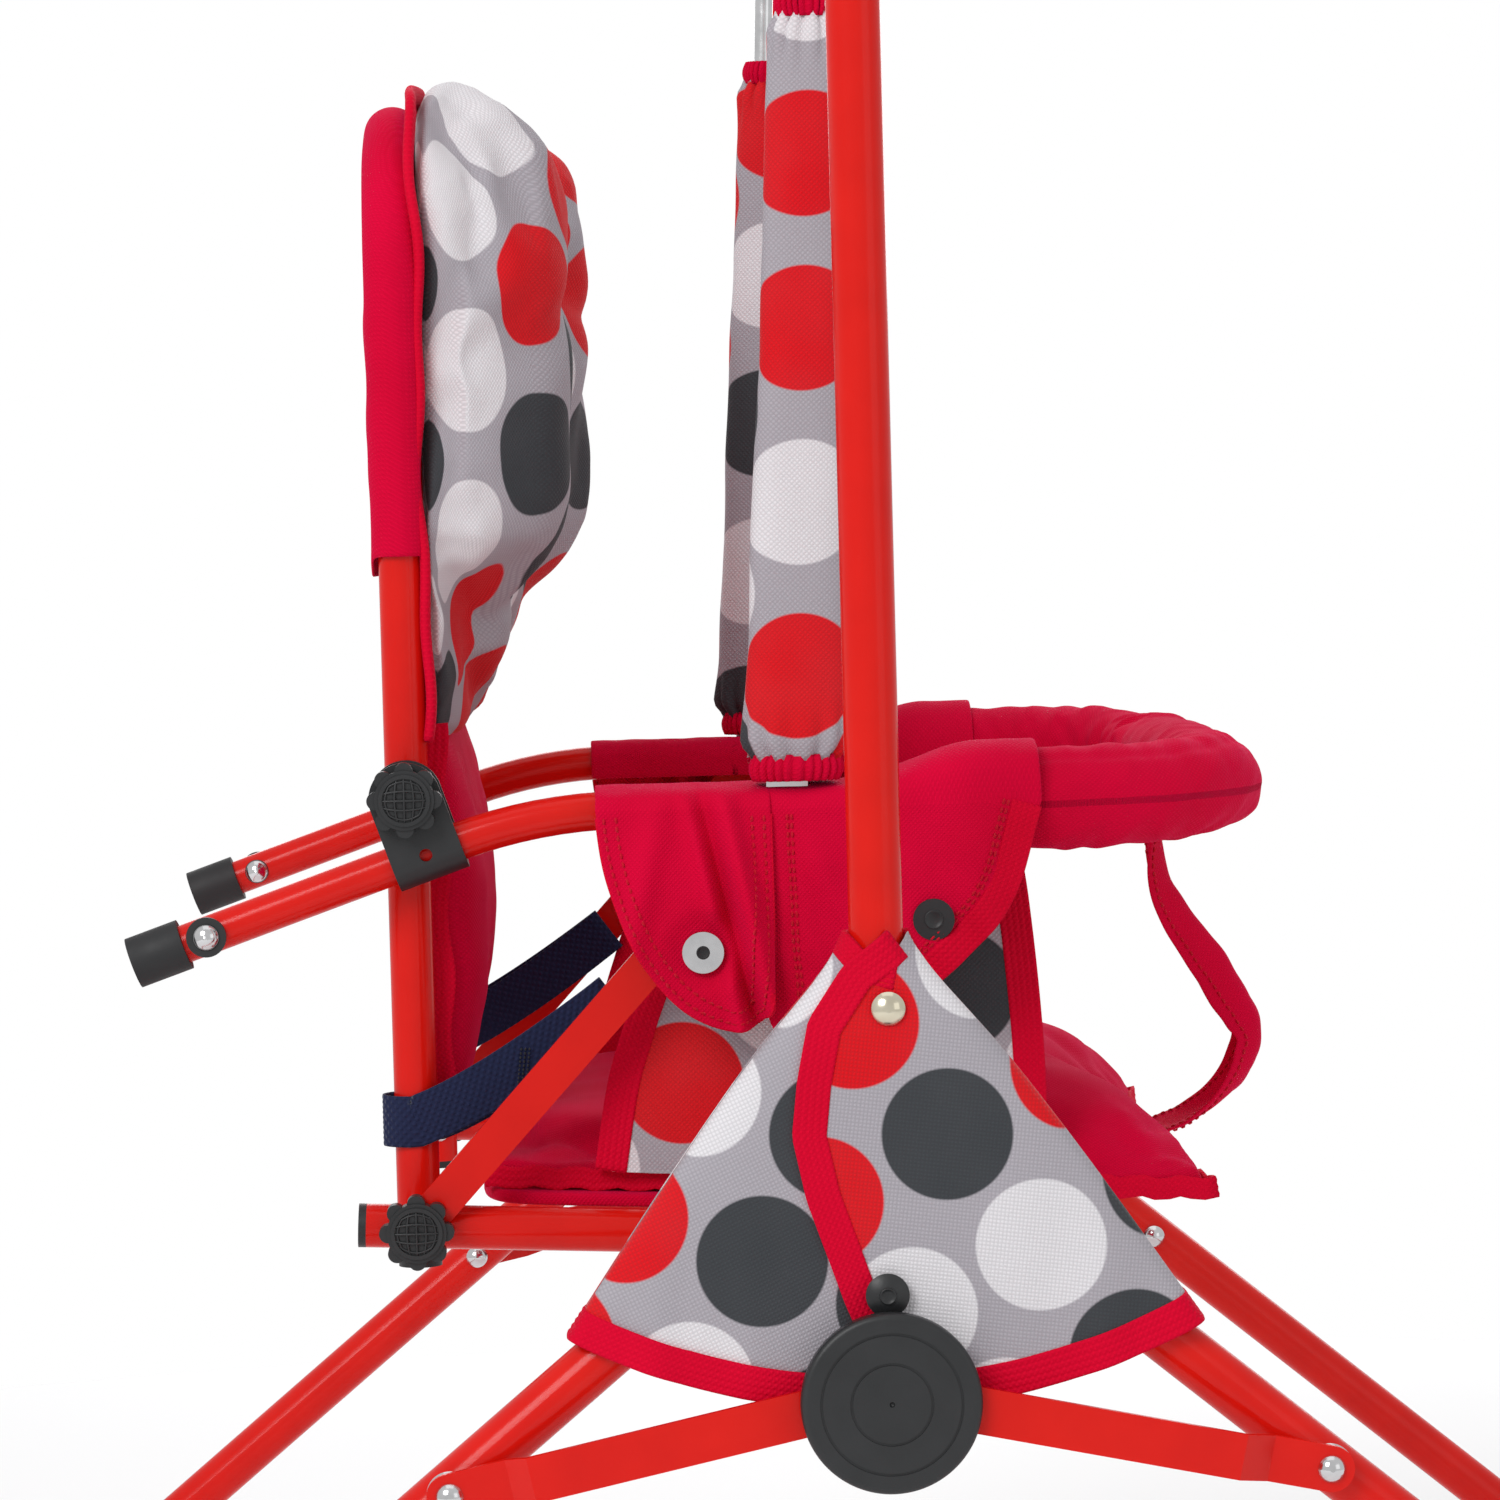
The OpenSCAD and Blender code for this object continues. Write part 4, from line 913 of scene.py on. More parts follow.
def makeFlap(sideName, kind):
    side = sides[sideName]
    rear = kind == "rear"
    baseY = flap[kind + "Y"]
    topZ = flap[kind + "Top"]

    def depth(x, z):
        hang = ease((topZ - z) / 0.04)
        if rear:
            lean = (z - 0.44) * 0.22
            folds = (bell(x + lean, -0.0420, 0.0042) - 0.45 * bell(x + lean, -0.0500, 0.0032)
                     + 0.5 * bell(x + lean, -0.0560, 0.0032) + 0.35 * bell(x - lean, -0.0860, 0.006)
                     ) * flap["rearFold"] * mix(0.55, 1, hang)
            cup = 0.0035 * ease((abs(x + 0.068) - 0.018) / 0.02) * ease((0.43 - z) / 0.03)
            soft = 0.0011 * ripple((x, side, z), 0.022, 4)
            free = ease((hypot(x + 0.061, z - 0.427) - 0.008) / 0.010)  # flat under the ring snap
            return side * (baseY - 0.0012 + (0.0024 - 0.0025 * (1 - hang) + folds - cup * 0.6 + soft) * free)
        folds = flap["frontFold"] * (ripple((x * 1.2 + z * 0.6, side, z * 0.5), 0.016, 7)
                                     + 0.6 * ripple((x, side, z), 0.03, 1))
        return side * (baseY + 0.0003 + max(folds, -0.0006) * hang * ease((x + 0.035) / 0.02))

    def radiusAt(x):
        if rear:
            return 0.0094
        return mix(0.0094, 0.0232, ease((x + 0.005) / 0.055))

    def over(turn):  # round the tube or the bumper, from the inside to the outside
        def place(x):
            radius = radiusAt(x)
            y = armY - radius * cos(turn)
            if turn > pi / 2:
                y = mix(y, abs(depth(x, topZ)), ease((turn - pi / 2) / (pi * 0.36)))
            z = armZ + radius * sin(turn)
            crease = 0.0006 * ripple((x * 2, side, turn), 0.02, 9)
            return Vector((x, side * (y + crease), z + crease))
        return place

    def inner(drop):
        def place(x):
            return Vector((x, side * (armY - radiusAt(x) - 0.0002), armZ - drop))
        return place

    points = flap[kind]
    outline = outlinePath(points, 90)
    topRows = [inner(0.007), inner(0.0035), inner(0.0)] + [over(pi * k / 14) for k in range(1, 12)]
    outline = [(x, min(z, topZ - 0.006)) for x, z in outline]
    piece = hangCloth(f"{kind}_flap_{sideName}", outline, depth, 60, 46, topRows, (0, 0.45))
    if side > 0:
        piece.data.flip_normals()
    area = clothArea(piece)
    thicken(piece, flap["cloth"])
    dress(piece, "swing", redCloth, "red_fabric")
    declareSheet(area, flap[kind + "Flat"])
    edge = [(x, z) for x, z in outlinePath(points, 120) if z < topZ - 0.008]
    rows = [onCloth(insetTrack(edge, -away), depth, side, flap["cloth"] * 0.5)
            for away in flap[kind + "Stitches"]]
    addStitches(f"{kind}_flap_stitches_{sideName}", rows, "swing", redThread, "red_fabric")
    if rear:
        places, normals = onCloth(insetTrack(edge, -0.0006), depth, side)
        rim = tapeAlong(f"rear_rim_{sideName}", places, normals, 0.0022, 0.0004, 1, 0.0010)
    else:
        track = [(x, z) for x, z in edge if x > -0.034]
        places, normals = onCloth(insetTrack(track, -0.0052), depth, side, 0.0004)
        rim = tapeAlong(f"front_rim_{sideName}", places, normals, flap["tape"], 0.0009, 5, 0.0022)
    dress(rim, "swing", redTape, "red_fabric")
    return piece


def makeSidePanel(sideName):
    side = sides[sideName]

    def depth(x, z):
        full = (ease((z - 0.335) / 0.05) * ease((0.47 - z) / 0.05) * ease((x + 0.1) / 0.05)
                * ease((0.07 - x) / 0.04))
        return side * (sidePanel["y"] + sidePanel["bulge"] * full + 0.0010 * ripple((x, side, z), 0.03, 2))

    piece = hangCloth("side_panel_" + sideName, sidePanel["outline"], depth, 60, 56)
    if side > 0:
        piece.data.flip_normals()
    area = clothArea(piece)
    thicken(piece, sidePanel["cloth"])
    flat = []
    for v in piece.data.vertices:
        tuck = sidePanel["tuck"] * ease((v.co.x + 0.02) / 0.04)
        flat.append((v.co.x - sidePanel["printX"] + tuck, v.co.z - sidePanel["printZ"]))
    setCloth(piece.data, flat)
    dress(piece, "swing", panelDots, "dotted_fabric")
    declareSheet(area, sidePanel["flat"])
    tapes = []
    for name, inward in (("rear", -0.0050), ("front", 0.0050)):
        edge = outlinePath(sidePanel[name], 60)
        places, normals = onCloth(insetTrack(edge, inward), depth, side, 0.0003)
        tapes.append(tapeAlong(f"{name}_{sideName}", places, normals, sidePanel["tape"],
                               sidePanel["tapeThick"], 5, 0.0018))
    dress(joinPieces("side_panel_tape_" + sideName, tapes), "swing", redTape, "red_fabric")
    return piece


for sideName in sides:
    makeSidePanel(sideName)
    for kind in ("front", "rear"):
        makeFlap(sideName, kind)
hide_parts("side_panels")
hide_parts("rear_flaps")
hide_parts("front_flaps")
print("cloth sides made")


# soft pads blown up with a cloth simulation

def closeHoles(piece):  # joins the two open edges of a shell
    work = bmesh.new()
    work.from_mesh(piece.data)
    rim = [e for e in work.edges if e.is_boundary]
    try:
        bmesh.ops.bridge_loops(work, edges=rim)
    except RuntimeError:
        bmesh.ops.holes_fill(work, edges=rim)
    bmesh.ops.recalc_face_normals(work, faces=work.faces)
    work.to_mesh(piece.data)
    work.free()


def puff(piece, pad, hold):  # hold gives how firmly each point is held, 0 to 1
    remesh = piece.modifiers.new("voxels", "REMESH")
    remesh.mode = "VOXEL"
    remesh.voxel_size = pad["voxel"]
    bake(piece)
    start = [v.co.copy() for v in piece.data.vertices]
    held = piece.vertex_groups.new(name="held")
    for v in piece.data.vertices:
        weight = hold(v.co)
        if weight > 0:
            held.add([v.index], weight, "REPLACE")
    cloth = piece.modifiers.new("cloth", "CLOTH")
    cloth.settings.quality = 4
    cloth.settings.use_pressure = True
    cloth.settings.uniform_pressure_force = pad["pressure"]
    cloth.settings.vertex_group_mass = "held"
    cloth.settings.shrink_min = -pad["slack"]
    cloth.settings.tension_stiffness = 12
    cloth.settings.bending_stiffness = pad["stiff"]
    cloth.settings.effector_weights.gravity = 0
    cloth.point_cache.frame_start = 1
    cloth.point_cache.frame_end = pad["frames"]
    for number in range(1, pad["frames"] + 1):
        bpy.context.scene.frame_set(number)
    shaped = piece.evaluated_get(bpy.context.evaluated_depsgraph_get())
    moved = [v.co.copy() for v in shaped.data.vertices]
    piece.modifiers.clear()
    piece.vertex_groups.clear()
    bpy.context.scene.frame_set(1)
    for v, a, b in zip(piece.data.vertices, start, moved):
        step = b - a
        if step.length > pad["cap"]:
            step *= pad["cap"] / step.length
        v.co = a + step
    smoother = piece.modifiers.new("even", "SMOOTH")
    smoother.factor = 0.5
    smoother.iterations = pad["evenness"]
    bake(piece)
    return piece


# seat cushion, its rear edge at the hinge and its two front corners pointed

seat = {
    "rearX": -0.148, "frontX": 0.131, "cornerX": 0.1395, "half": 0.1565, "rearTop": 0.349, "crest": 0.3635,
    "rim": 0.006, "gather": 0.0036, "lumps": 0.0018, "tape": 0.0085,
    "pad": {"voxel": 0.0055, "pressure": 3.5, "slack": 0.045, "stiff": 0.6, "frames": 20, "cap": 0.008,
            "evenness": 3},
}


def seatUnder(x):  # the top of the seat board
    return reclinePivot.z + 0.0085 - (x - reclinePivot.x) * 0.0489 + 0.0045


def seatEdge(y):  # the front edge runs to a point at each side
    share = min(abs(y) / seat["half"], 1)
    return mix(seat["frontX"], seat["cornerX"], share ** 4) - 0.010 * bell(y, 0, 0.03)


def seamZ(x):
    return seatUnder(x) + mix(0.006, 0.0065, ease((x - 0.05) / 0.08))


def makeSeat():
    acrossCount, alongCount = 60, 56
    top, low = [], []
    for r in range(alongCount + 1):
        b = r / alongCount
        topRow, lowRow = [], []
        for k in range(acrossCount + 1):
            a = 2 * k / acrossCount - 1
            y = a * seat["half"]
            x = mix(seat["rearX"], seatEdge(y), b)
            rim = (1 - abs(a) ** 7) * (1 - abs(2 * b - 1) ** 9)
            crown = mix(seat["rearTop"], seat["crest"], ease((x - seat["rearX"]) / 0.2))
            crown -= 0.012 * ease((x - 0.085) / 0.05)
            seam = seamZ(x)
            dish = 0.003 * (1 - a * a) * ease((x - seat["rearX"]) / 0.05)
            topRow.append(Vector((x, y, mix(seam + 0.001, crown - dish, rim ** 0.6))))
            lowRow.append(Vector((x, y, mix(seam - 0.001, seatUnder(x) + 0.0006, min(rim * 3, 1)))))
        top.append(topRow)
        low.append(lowRow)
    upper = addGrid("upper", top)
    lower = addGrid("lower", low)
    lower.data.flip_normals()
    shell = joinPieces("seat_pad", [upper, lower])
    weld = shell.modifiers.new("weld", "WELD")
    weld.merge_threshold = 0.0001
    bake(shell)
    closeHoles(shell)

    def hold(p):  # sewn fast round the rim, and nearly so on the board
        nearEdge = (abs(p.y) > seat["half"] - seat["rim"] or p.x < seat["rearX"] + seat["rim"]
                    or p.x > seatEdge(p.y) - seat["rim"])
        if nearEdge and abs(p.z - seamZ(p.x)) < 0.004:
            return 1.0
        return 0.9 if p.z < seatUnder(p.x) + 0.002 else 0.0

    puff(shell, seat["pad"], hold)
    for v in shell.data.vertices:  # gathers along the seam and soft hollows on top
        x, y, z = v.co
        if z > seamZ(x) + 0.002:
            toEdge = min(seatEdge(y) - x, seat["half"] - abs(y))
            gather = ripple((y + x * 0.15, x * 0.3, 0.7), 0.009, 4) * bell(toEdge, 0.010, 0.014)
            lump = ripple((x, y, 0), 0.035, 6) * ease((z - seamZ(x)) / 0.006)
            v.co.z += seat["gather"] * gather + seat["lumps"] * lump
    roundOff(shell)
    setCloth(shell.data, [(v.co.x, v.co.y + v.co.z) for v in shell.data.vertices])
    dress(shell, "swing", redCloth, "red_fabric", "seat_cushion")
    steps = 60  # along each of the three taped edges
    cornerX = seatEdge(seat["half"])
    edge = [(mix(seat["rearX"], cornerX, k / steps), -seat["half"]) for k in range(steps)]
    for k in range(steps):
        y = mix(-1, 1, k / steps) * seat["half"]
        edge.append((seatEdge(y), y))
    edge += [(mix(cornerX, seat["rearX"], k / steps), seat["half"]) for k in range(steps + 1)]
    places, normals = [], []
    for k, (x, y) in enumerate(edge):
        pucker = 0.0008 * sin(k * 1.9) + 0.0006 * ripple((x, y, 0), 0.01, 3)
        places.append(Vector((x, y, seamZ(x) - 0.001 + pucker)))
        out = [Vector((0, -0.9, 0.1)), Vector((0.9, 0, 0.1)), Vector((0, 0.9, 0.1))][min(k // steps, 2)]
        if -2 <= k - steps < 2:
            out = Vector((0.7, -0.7, 0.1))
        elif -2 <= k - 2 * steps < 2:
            out = Vector((0.7, 0.7, 0.1))
        normals.append(out.normalized())
    tape = tapeAlong("seat_tape", places, normals, seat["tape"], 0.0009, 3, 0.0012)
    dress(tape, "swing", redTape, "red_fabric")


boardWrap = {"proud": 0.0012, "inset": 0.00288, "slope": 2.8, "edge": 0.5, "corner": 2 / 14,
             "creases": 0.0005}


def makeBoardWrap():  # the seat board in its tight cloth cover, a rounded slab with soft edges
    low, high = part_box("seat_board")
    centre = (low + high) / 2
    halfX, halfY = (high.x - low.x) / 2 + boardWrap["proud"], (high.y - low.y) / 2 + boardWrap["proud"]
    slope = radians(boardWrap["slope"])
    thick = max((high.z - low.z) - 2 * halfX * sin(slope), 0.004) / 2 + 0.0006
    rows = []
    for r in range(13):
        turn = pi * r / 12 - pi / 2  # from the underside round the edge to the top
        inset = boardWrap["inset"] * (1 - cos(turn) ** boardWrap["edge"])
        lift = thick * abs(sin(turn)) ** boardWrap["edge"] * (1 if turn > 0 else -1)
        row = []
        for k in range(160):
            around = 2 * pi * k / 160
            x = signedPower(cos(around), boardWrap["corner"]) * (halfX - inset)
            y = signedPower(sin(around), boardWrap["corner"]) * (halfY - inset)
            pull = boardWrap["creases"] * ripple((x, y, lift), 0.012, 2)
            row.append(Vector((centre.x + x + pull, centre.y + y + pull, centre.z + lift - x * sin(slope))))
        rows.append(row)
    flat = [[(p.x, p.y + p.z) for p in row] for row in rows]
    wrap = addGrid("seat_board_cover", rows, flat, ring=True, caps=True)
    dress(wrap, "swing", redCloth, "red_fabric", "seat_board")


makeSeat()
makeBoardWrap()
print("seat cushion and board made")


# crotch strap, a soft folded band from the bumper down to the seat

strap = {
    "route": [(0.1345, 0.4605), (0.1400, 0.4310), (0.1640, 0.3970), (0.1765, 0.3700), (0.1665, 0.3475),
              (0.1460, 0.3330), (0.1235, 0.3270)],
    "half": 0.024, "cloth": 0.0013, "curl": 0.017, "narrow": 0.34, "roll": 0.0035, "crease": 0.0011,
    "flat": (0.050, 0.198), "stitchLift": 0.0007,
}


def makeStrap():
    path = smoothPath([(x, 0, z) for x, z in strap["route"]], 64)
    last = len(path) - 1
    grid, flat, run = [], [], 0.0
    for k, place in enumerate(path):
        share = k / last
        forward = forwardAt(path, k)
        outward = Vector((forward.z, 0, -forward.x)) * -1
        outward = outward if outward.x > -0.2 else -outward
        free = bumpAt(share, 0.45, 0.62)  # 0 where the ends are sewn down
        row, flatRow = [], []
        for i in range(33):
            a = 2 * i / 32 - 1
            curl = strap["curl"] * free * (abs(a) ** 1.8) * (1 if a < 0 else 0.75)
            roll = strap["roll"] * free * sin(a * 5 + share * 3.0)
            y = a * strap["half"] * (1 - strap["narrow"] * free) + 0.003 * free * sin(share * 7)
            crease = strap["crease"] * ripple((run, a * 0.02, 0.3), 0.010, 5)
            row.append(place - outward * (curl + roll * 0.6 + crease - 0.003 * free) + Vector((0, y, 0)))
            flatRow.append((a * strap["half"], run))
        grid.append(row)
        flat.append(flatRow)
        run += (path[min(k + 1, last)] - place).length
    piece = addGrid("crotch_band", grid, flat)
    area = clothArea(piece)
    thicken(piece, strap["cloth"])
    dress(piece, "swing", redCloth, "red_fabric", "crotch_strap")
    declareSheet(area, strap["flat"])
    stitches = []
    for edge in (2, 30):
        line = [row[edge] for row in grid]
        normals = []
        for k, row in enumerate(grid):
            along = line[min(k + 1, last)] - line[max(k - 1, 0)]
            normals.append((row[edge + 1] - row[edge - 1]).cross(along).normalized())
        for face in (1, -1):  # on both faces of the band
            outwards = [n * face for n in normals]
            stitches.append(([p + n * strap["stitchLift"] for p, n in zip(line, outwards)], outwards))
    addStitches("crotch_band_stitches", stitches, "swing", redThread, "red_fabric")


makeStrap()
print("crotch strap made")


# backrest: a padded front with wings, a pocket over the tube, a lower panel and webbing

back = {
    "seamX": -0.1652, "half": 0.1545, "top": 0.7625, "low": 0.504, "corner": 0.062,
    "depth": 0.037, "wing": 0.020, "farWing": 0.031, "foot": 0.012, "dome": 0.008,
    "printX": -0.0585, "printZ": 0.553, "lumps": 0.0028, "slack": 0.0030,
    "pad": {"voxel": 0.0055, "pressure": 3.0, "slack": 0.075, "stiff": 0.35, "frames": 20, "cap": 0.011,
            "evenness": 2},
}


def backHalf(z):  # half width of the outline at height z
    top, corner, half = back["top"], back["corner"], back["half"]
    narrow = 0.010 * (1 - ease((z - back["low"]) / 0.06))
    if z > top - corner:
        up = z - (top - corner)
        return half - corner + sqrt(max(corner ** 2 - up ** 2, 0)) - narrow
    return half - narrow


def backFront(y, z):  # how far the pad stands in front of its seam
    share = abs(y) / max(backHalf(z), 1e-4)
    swell = mix(back["foot"], back["depth"], ease((z - back["low"]) / 0.12))
    wing = (back["farWing"] if y > 0 else back["wing"]) * bell(share, 0.74, 0.2)
    wing *= ease((z - 0.54) / 0.06) * ease((back["top"] + 0.005 - z) / 0.032)
    rim = 1 - min(share, 1) ** 8
    topRim = sqrt(1 - (1 - min(max(back["top"] - z, 0) / 0.034, 1)) ** 2)
    lowRim = ease((z - back["low"]) / 0.012) ** 0.5
    return (swell + wing) * rim ** 0.55 * topRim * lowRim


def makeBackPad():
    columns, rows = 56, 60
    frontRows, rearRows = [], []
    for r in range(rows + 1):
        z = mix(back["low"], back["top"], r / rows)
        half = max(backHalf(z), 0.02)
        frontRow, rearRow = [], []
        for k in range(columns + 1):
            a = 2 * k / columns - 1
            y = a * half
            frontRow.append(Vector((back["seamX"] + 0.001 + backFront(y, z), y, z)))
            rearRow.append(Vector((back["seamX"] + 0.0004, y, z)))
        frontRows.append(frontRow)
        rearRows.append(rearRow)
    front = addGrid("front", frontRows)
    rear = addGrid("rear", rearRows)
    rear.data.flip_normals()
    pad = joinPieces("backrest_pad", [front, rear])
    closeHoles(pad)
    puff(pad, back["pad"], lambda p: 1.0 if p.x < back["seamX"] + 0.005 else 0.0)
    for v in pad.data.vertices:
        x, y, z = v.co
        rise = x - back["seamX"]
        if rise > 0.006:
            seamY = backHalf(z)
            deep = ease((rise - 0.006) / 0.02)
            pull = (bell(z, 0.585 - abs(y) * 0.25, 0.010) * 0.0060
                    + bell(z + abs(y) * 0.5, 0.735, 0.009) * 0.0050) * ease((abs(y) - 0.02) / 0.05)
            puckers = 0.0016 * abs(ripple((y * 0.4, z, 2.2), 0.011, 6)) * ease((abs(y) - seamY + 0.05) / 0.04)
            v.co.x -= (pull + puckers + back["lumps"] * ripple((0, y, z), 0.034, 3)) * deep
            slack = ripple((x * 1.4, 0.5, z * 0.8 + x * 0.5), 0.026, 8) - bell(z - x * 0.8, 0.775, 0.008)
            toSide = ease((abs(y) - seamY + 0.04) / 0.03) * (1 if y > 0 else -1)
            v.co.y += back["slack"] * slack * deep * toSide
        v.co.x = max(v.co.x, back["seamX"])
        v.co.z += back["dome"] * ease((v.co.x - back["seamX"]) / 0.02) * ease((z - back["top"] + 0.05) / 0.05)
    roundOff(pad)
    flat = []
    for v in pad.data.vertices:
        x, y, z = v.co
        rise = x - back["seamX"]
        turned = ease((abs(y) / max(backHalf(z), 0.01) - 0.75) / 0.25)
        outward = abs(y) + (1.15 * max(0.0, 0.045 - rise) + 0.012 * ease(1 - rise / 0.018)) * turned
        flat.append(((outward if y > 0 else -outward) - back["printX"], z - back["printZ"]))
    setCloth(pad.data, flat)
    dress(pad, "backrest", backDots, "dotted_fabric", "backrest_cushion")


def backOutline(grow, count, lowZ):  # round the pad's edge from the lower right up and over to the lower left
    turnY, turnZ = back["half"] - back["corner"], back["top"] - back["corner"]
    radius = back["corner"] + grow
    half = [Vector((0, -(back["half"] + grow), mix(lowZ, turnZ, k / 30))) for k in range(31)]
    for k in range(1, 13):
        angle = pi / 2 * k / 12
        half.append(Vector((0, -turnY - radius * cos(angle), turnZ + radius * sin(angle))))
    path = half + [Vector((0, -p.y, p.z)) for p in half[::-1]]
    return [alongPath(path, k / (count - 1)) for k in range(count)]


pocket = {"tubeY": 0.152, "wrap": 0.0108, "low": 0.573, "top": 0.7595, "corner": 0.078, "seamTurn": -56,
          "sag": 0.0075, "cloth": 0.0012, "flat": (0.37, 0.205), "cornerFrom": 0.22, "cornerTo": 0.42}


def makePocket():
    # a slip cover in nested U-shaped rows: from the seam round the tube, then flat across the back
    def ring(out, run, slack):  # a U at a distance out from the tube's middle line, open at the foot
        half = max(pocket["tubeY"] + out, 0.0005)
        corner = min(pocket["corner"] - pocket["wrap"] + out, half) if out > -0.06 else half * 0.6
        corner = max(corner, 0.0004)
        top = pocket["top"] - pocket["wrap"] + out
        low = pocket["low"] + 0.008 * ease((out + 0.012) / 0.02)
        row = []
        for k in range(121):
            share = 2 * k / 120 - 1
            along = abs(share)
            if along > pocket["cornerTo"]:  # the straight side
                z = mix(top - corner, low, (along - pocket["cornerTo"]) / (1 - pocket["cornerTo"]))
                y = half
            elif along > pocket["cornerFrom"]:
                angle = (along - pocket["cornerFrom"]) / (pocket["cornerTo"] - pocket["cornerFrom"]) * pi / 2
                y, z = half - corner + corner * sin(angle), top - corner + corner * cos(angle)
            else:
                y, z = (half - corner) * along / pocket["cornerFrom"], top
            y = y if share > 0 else -y
            crease = 0.0013 * ripple((0, y * 0.6, z), 0.022, 4) + 0.0008 * ripple((0, y, z), 0.012, 9)
            row.append(Vector((run + slack * crease, y, z)))
        return row

    grid = []
    for k in range(15):
        turn = radians(mix(pocket["seamTurn"], 90, k / 14))
        x = reclinePivot.x - pocket["wrap"] * sin(turn)
        grid.append(ring(pocket["wrap"] * cos(turn), x, 0.3 * k / 14))
    for k in range(1, 41):
        share = k / 40
        out = -pocket["tubeY"] * share
        grid.append(ring(out, reclinePivot.x - pocket["wrap"] + pocket["sag"] * ease(share / 0.5), 1))
    flat = [[(p.y, p.z + 0.6 * (p.x - reclinePivot.x)) for p in row] for row in grid]
    piece = addGrid("back_pocket_cloth", grid, flat)
    area = clothArea(piece)
    thicken(piece, pocket["cloth"])
    dress(piece, "backrest", redCloth, "red_fabric", "back_pocket")
    declareSheet(area, pocket["flat"])


def makeBackEdge():  # the bound seam between the pocket and the pad, with a soft point at each top corner
    path = backOutline(-0.0015, 240, 0.508)
    places, across = [], []
    for k, p in enumerate(path):
        share = k / 239
        flick = bell(abs(p.y), 0.128, 0.012) * ease((p.z - 0.70) / 0.04)
        wander = 0.0012 * sin(share * 34) + 0.0009 * sin(share * 81)
        outward = forwardAt(path, k).cross(Vector((1, 0, 0)))
        if outward.dot(Vector((0, p.y, p.z - 0.62))) < 0:
            outward = -outward
        seam = Vector((back["seamX"] + 0.0002 + wander, p.y, p.z))
        places.append(seam + outward * (0.001 + 0.0055 * flick))
        across.append(outward)
    upper = [(-0.0040, 0.0016), (-0.0015, 0.0023), (0.0010, 0.0018), (0.0035, 0.0023), (0.0056, 0.0014)]
    outline = upper + [(0.0061, 0)] + [(a, -h) for a, h in upper[::-1]]
    edge = sweep("backrest_edge", places, across, outline)
    roundOff(edge)
    dress(edge, "backrest", redTape, "red_fabric")


lower = {"top": 0.512, "low": 0.356, "half": 0.140, "x": -0.1628, "bulge": 0.021, "cloth": 0.0013,
         "wrinkle": 0.0016, "flat": (0.285, 0.17), "seamY": 0.1425, "tape": 0.0085}


def makeLowerPanel():  # plain cloth from the pad down to the seat, bellied forwards
    def place(a, share):
        z = mix(lower["low"], lower["top"], share)
        belly = sin(pi * min(share * 0.92 + 0.04, 1)) ** 0.8
        forward = lower["bulge"] * belly * (0.75 + 0.25 * a * a) * max(1 - abs(a) ** 9, 0) ** 0.6
        wrinkle = lower["wrinkle"] * ripple((0, a * lower["half"], z * 1.4), 0.02, 5) * belly
        return Vector((lower["x"] + forward + wrinkle, a * lower["half"], z))

    grid = [[place(2 * k / 60 - 1, r / 44) for k in range(61)] for r in range(45)]
    flat = [[(p.y, p.z) for p in row] for row in grid]
    piece = addGrid("lower_back_cloth", grid, flat)
    area = clothArea(piece)
    thicken(piece, lower["cloth"])
    dress(piece, "backrest", redCloth, "red_fabric", "back_panel")
    declareSheet(area, lower["flat"])
    tapes = []
    for side in (-1, 1):
        places = []
        for k in range(61):
            x = back["seamX"] + 0.0025 + 0.0012 * sin(k * 0.35)
            places.append(Vector((x, side * lower["seamY"], mix(0.355, 0.515, k / 60))))
        normals = [Vector((0, side, 0)) for _ in places]
        tapes.append(tapeAlong(f"seam_{side}", places, normals, lower["tape"], 0.0011, 3, 0.0012))
    dress(joinPieces("lower_back_tape", tapes), "backrest", redTape, "red_fabric")


makeBackPad()
makePocket()
makeBackEdge()
makeLowerPanel()
print("backrest made")


# webbing loops round the backrest tube, sewn together behind the strut

web = {"low": 0.351, "width": 0.020, "thickness": 0.0013, "ribs": 10, "groove": 0.72, "loop": 0.0093,
       "endX": -0.095, "rise": 0.046, "bow": 1.25, "tackAt": 0.040, "tackRows": (0, 0.0016, 0.0032)}


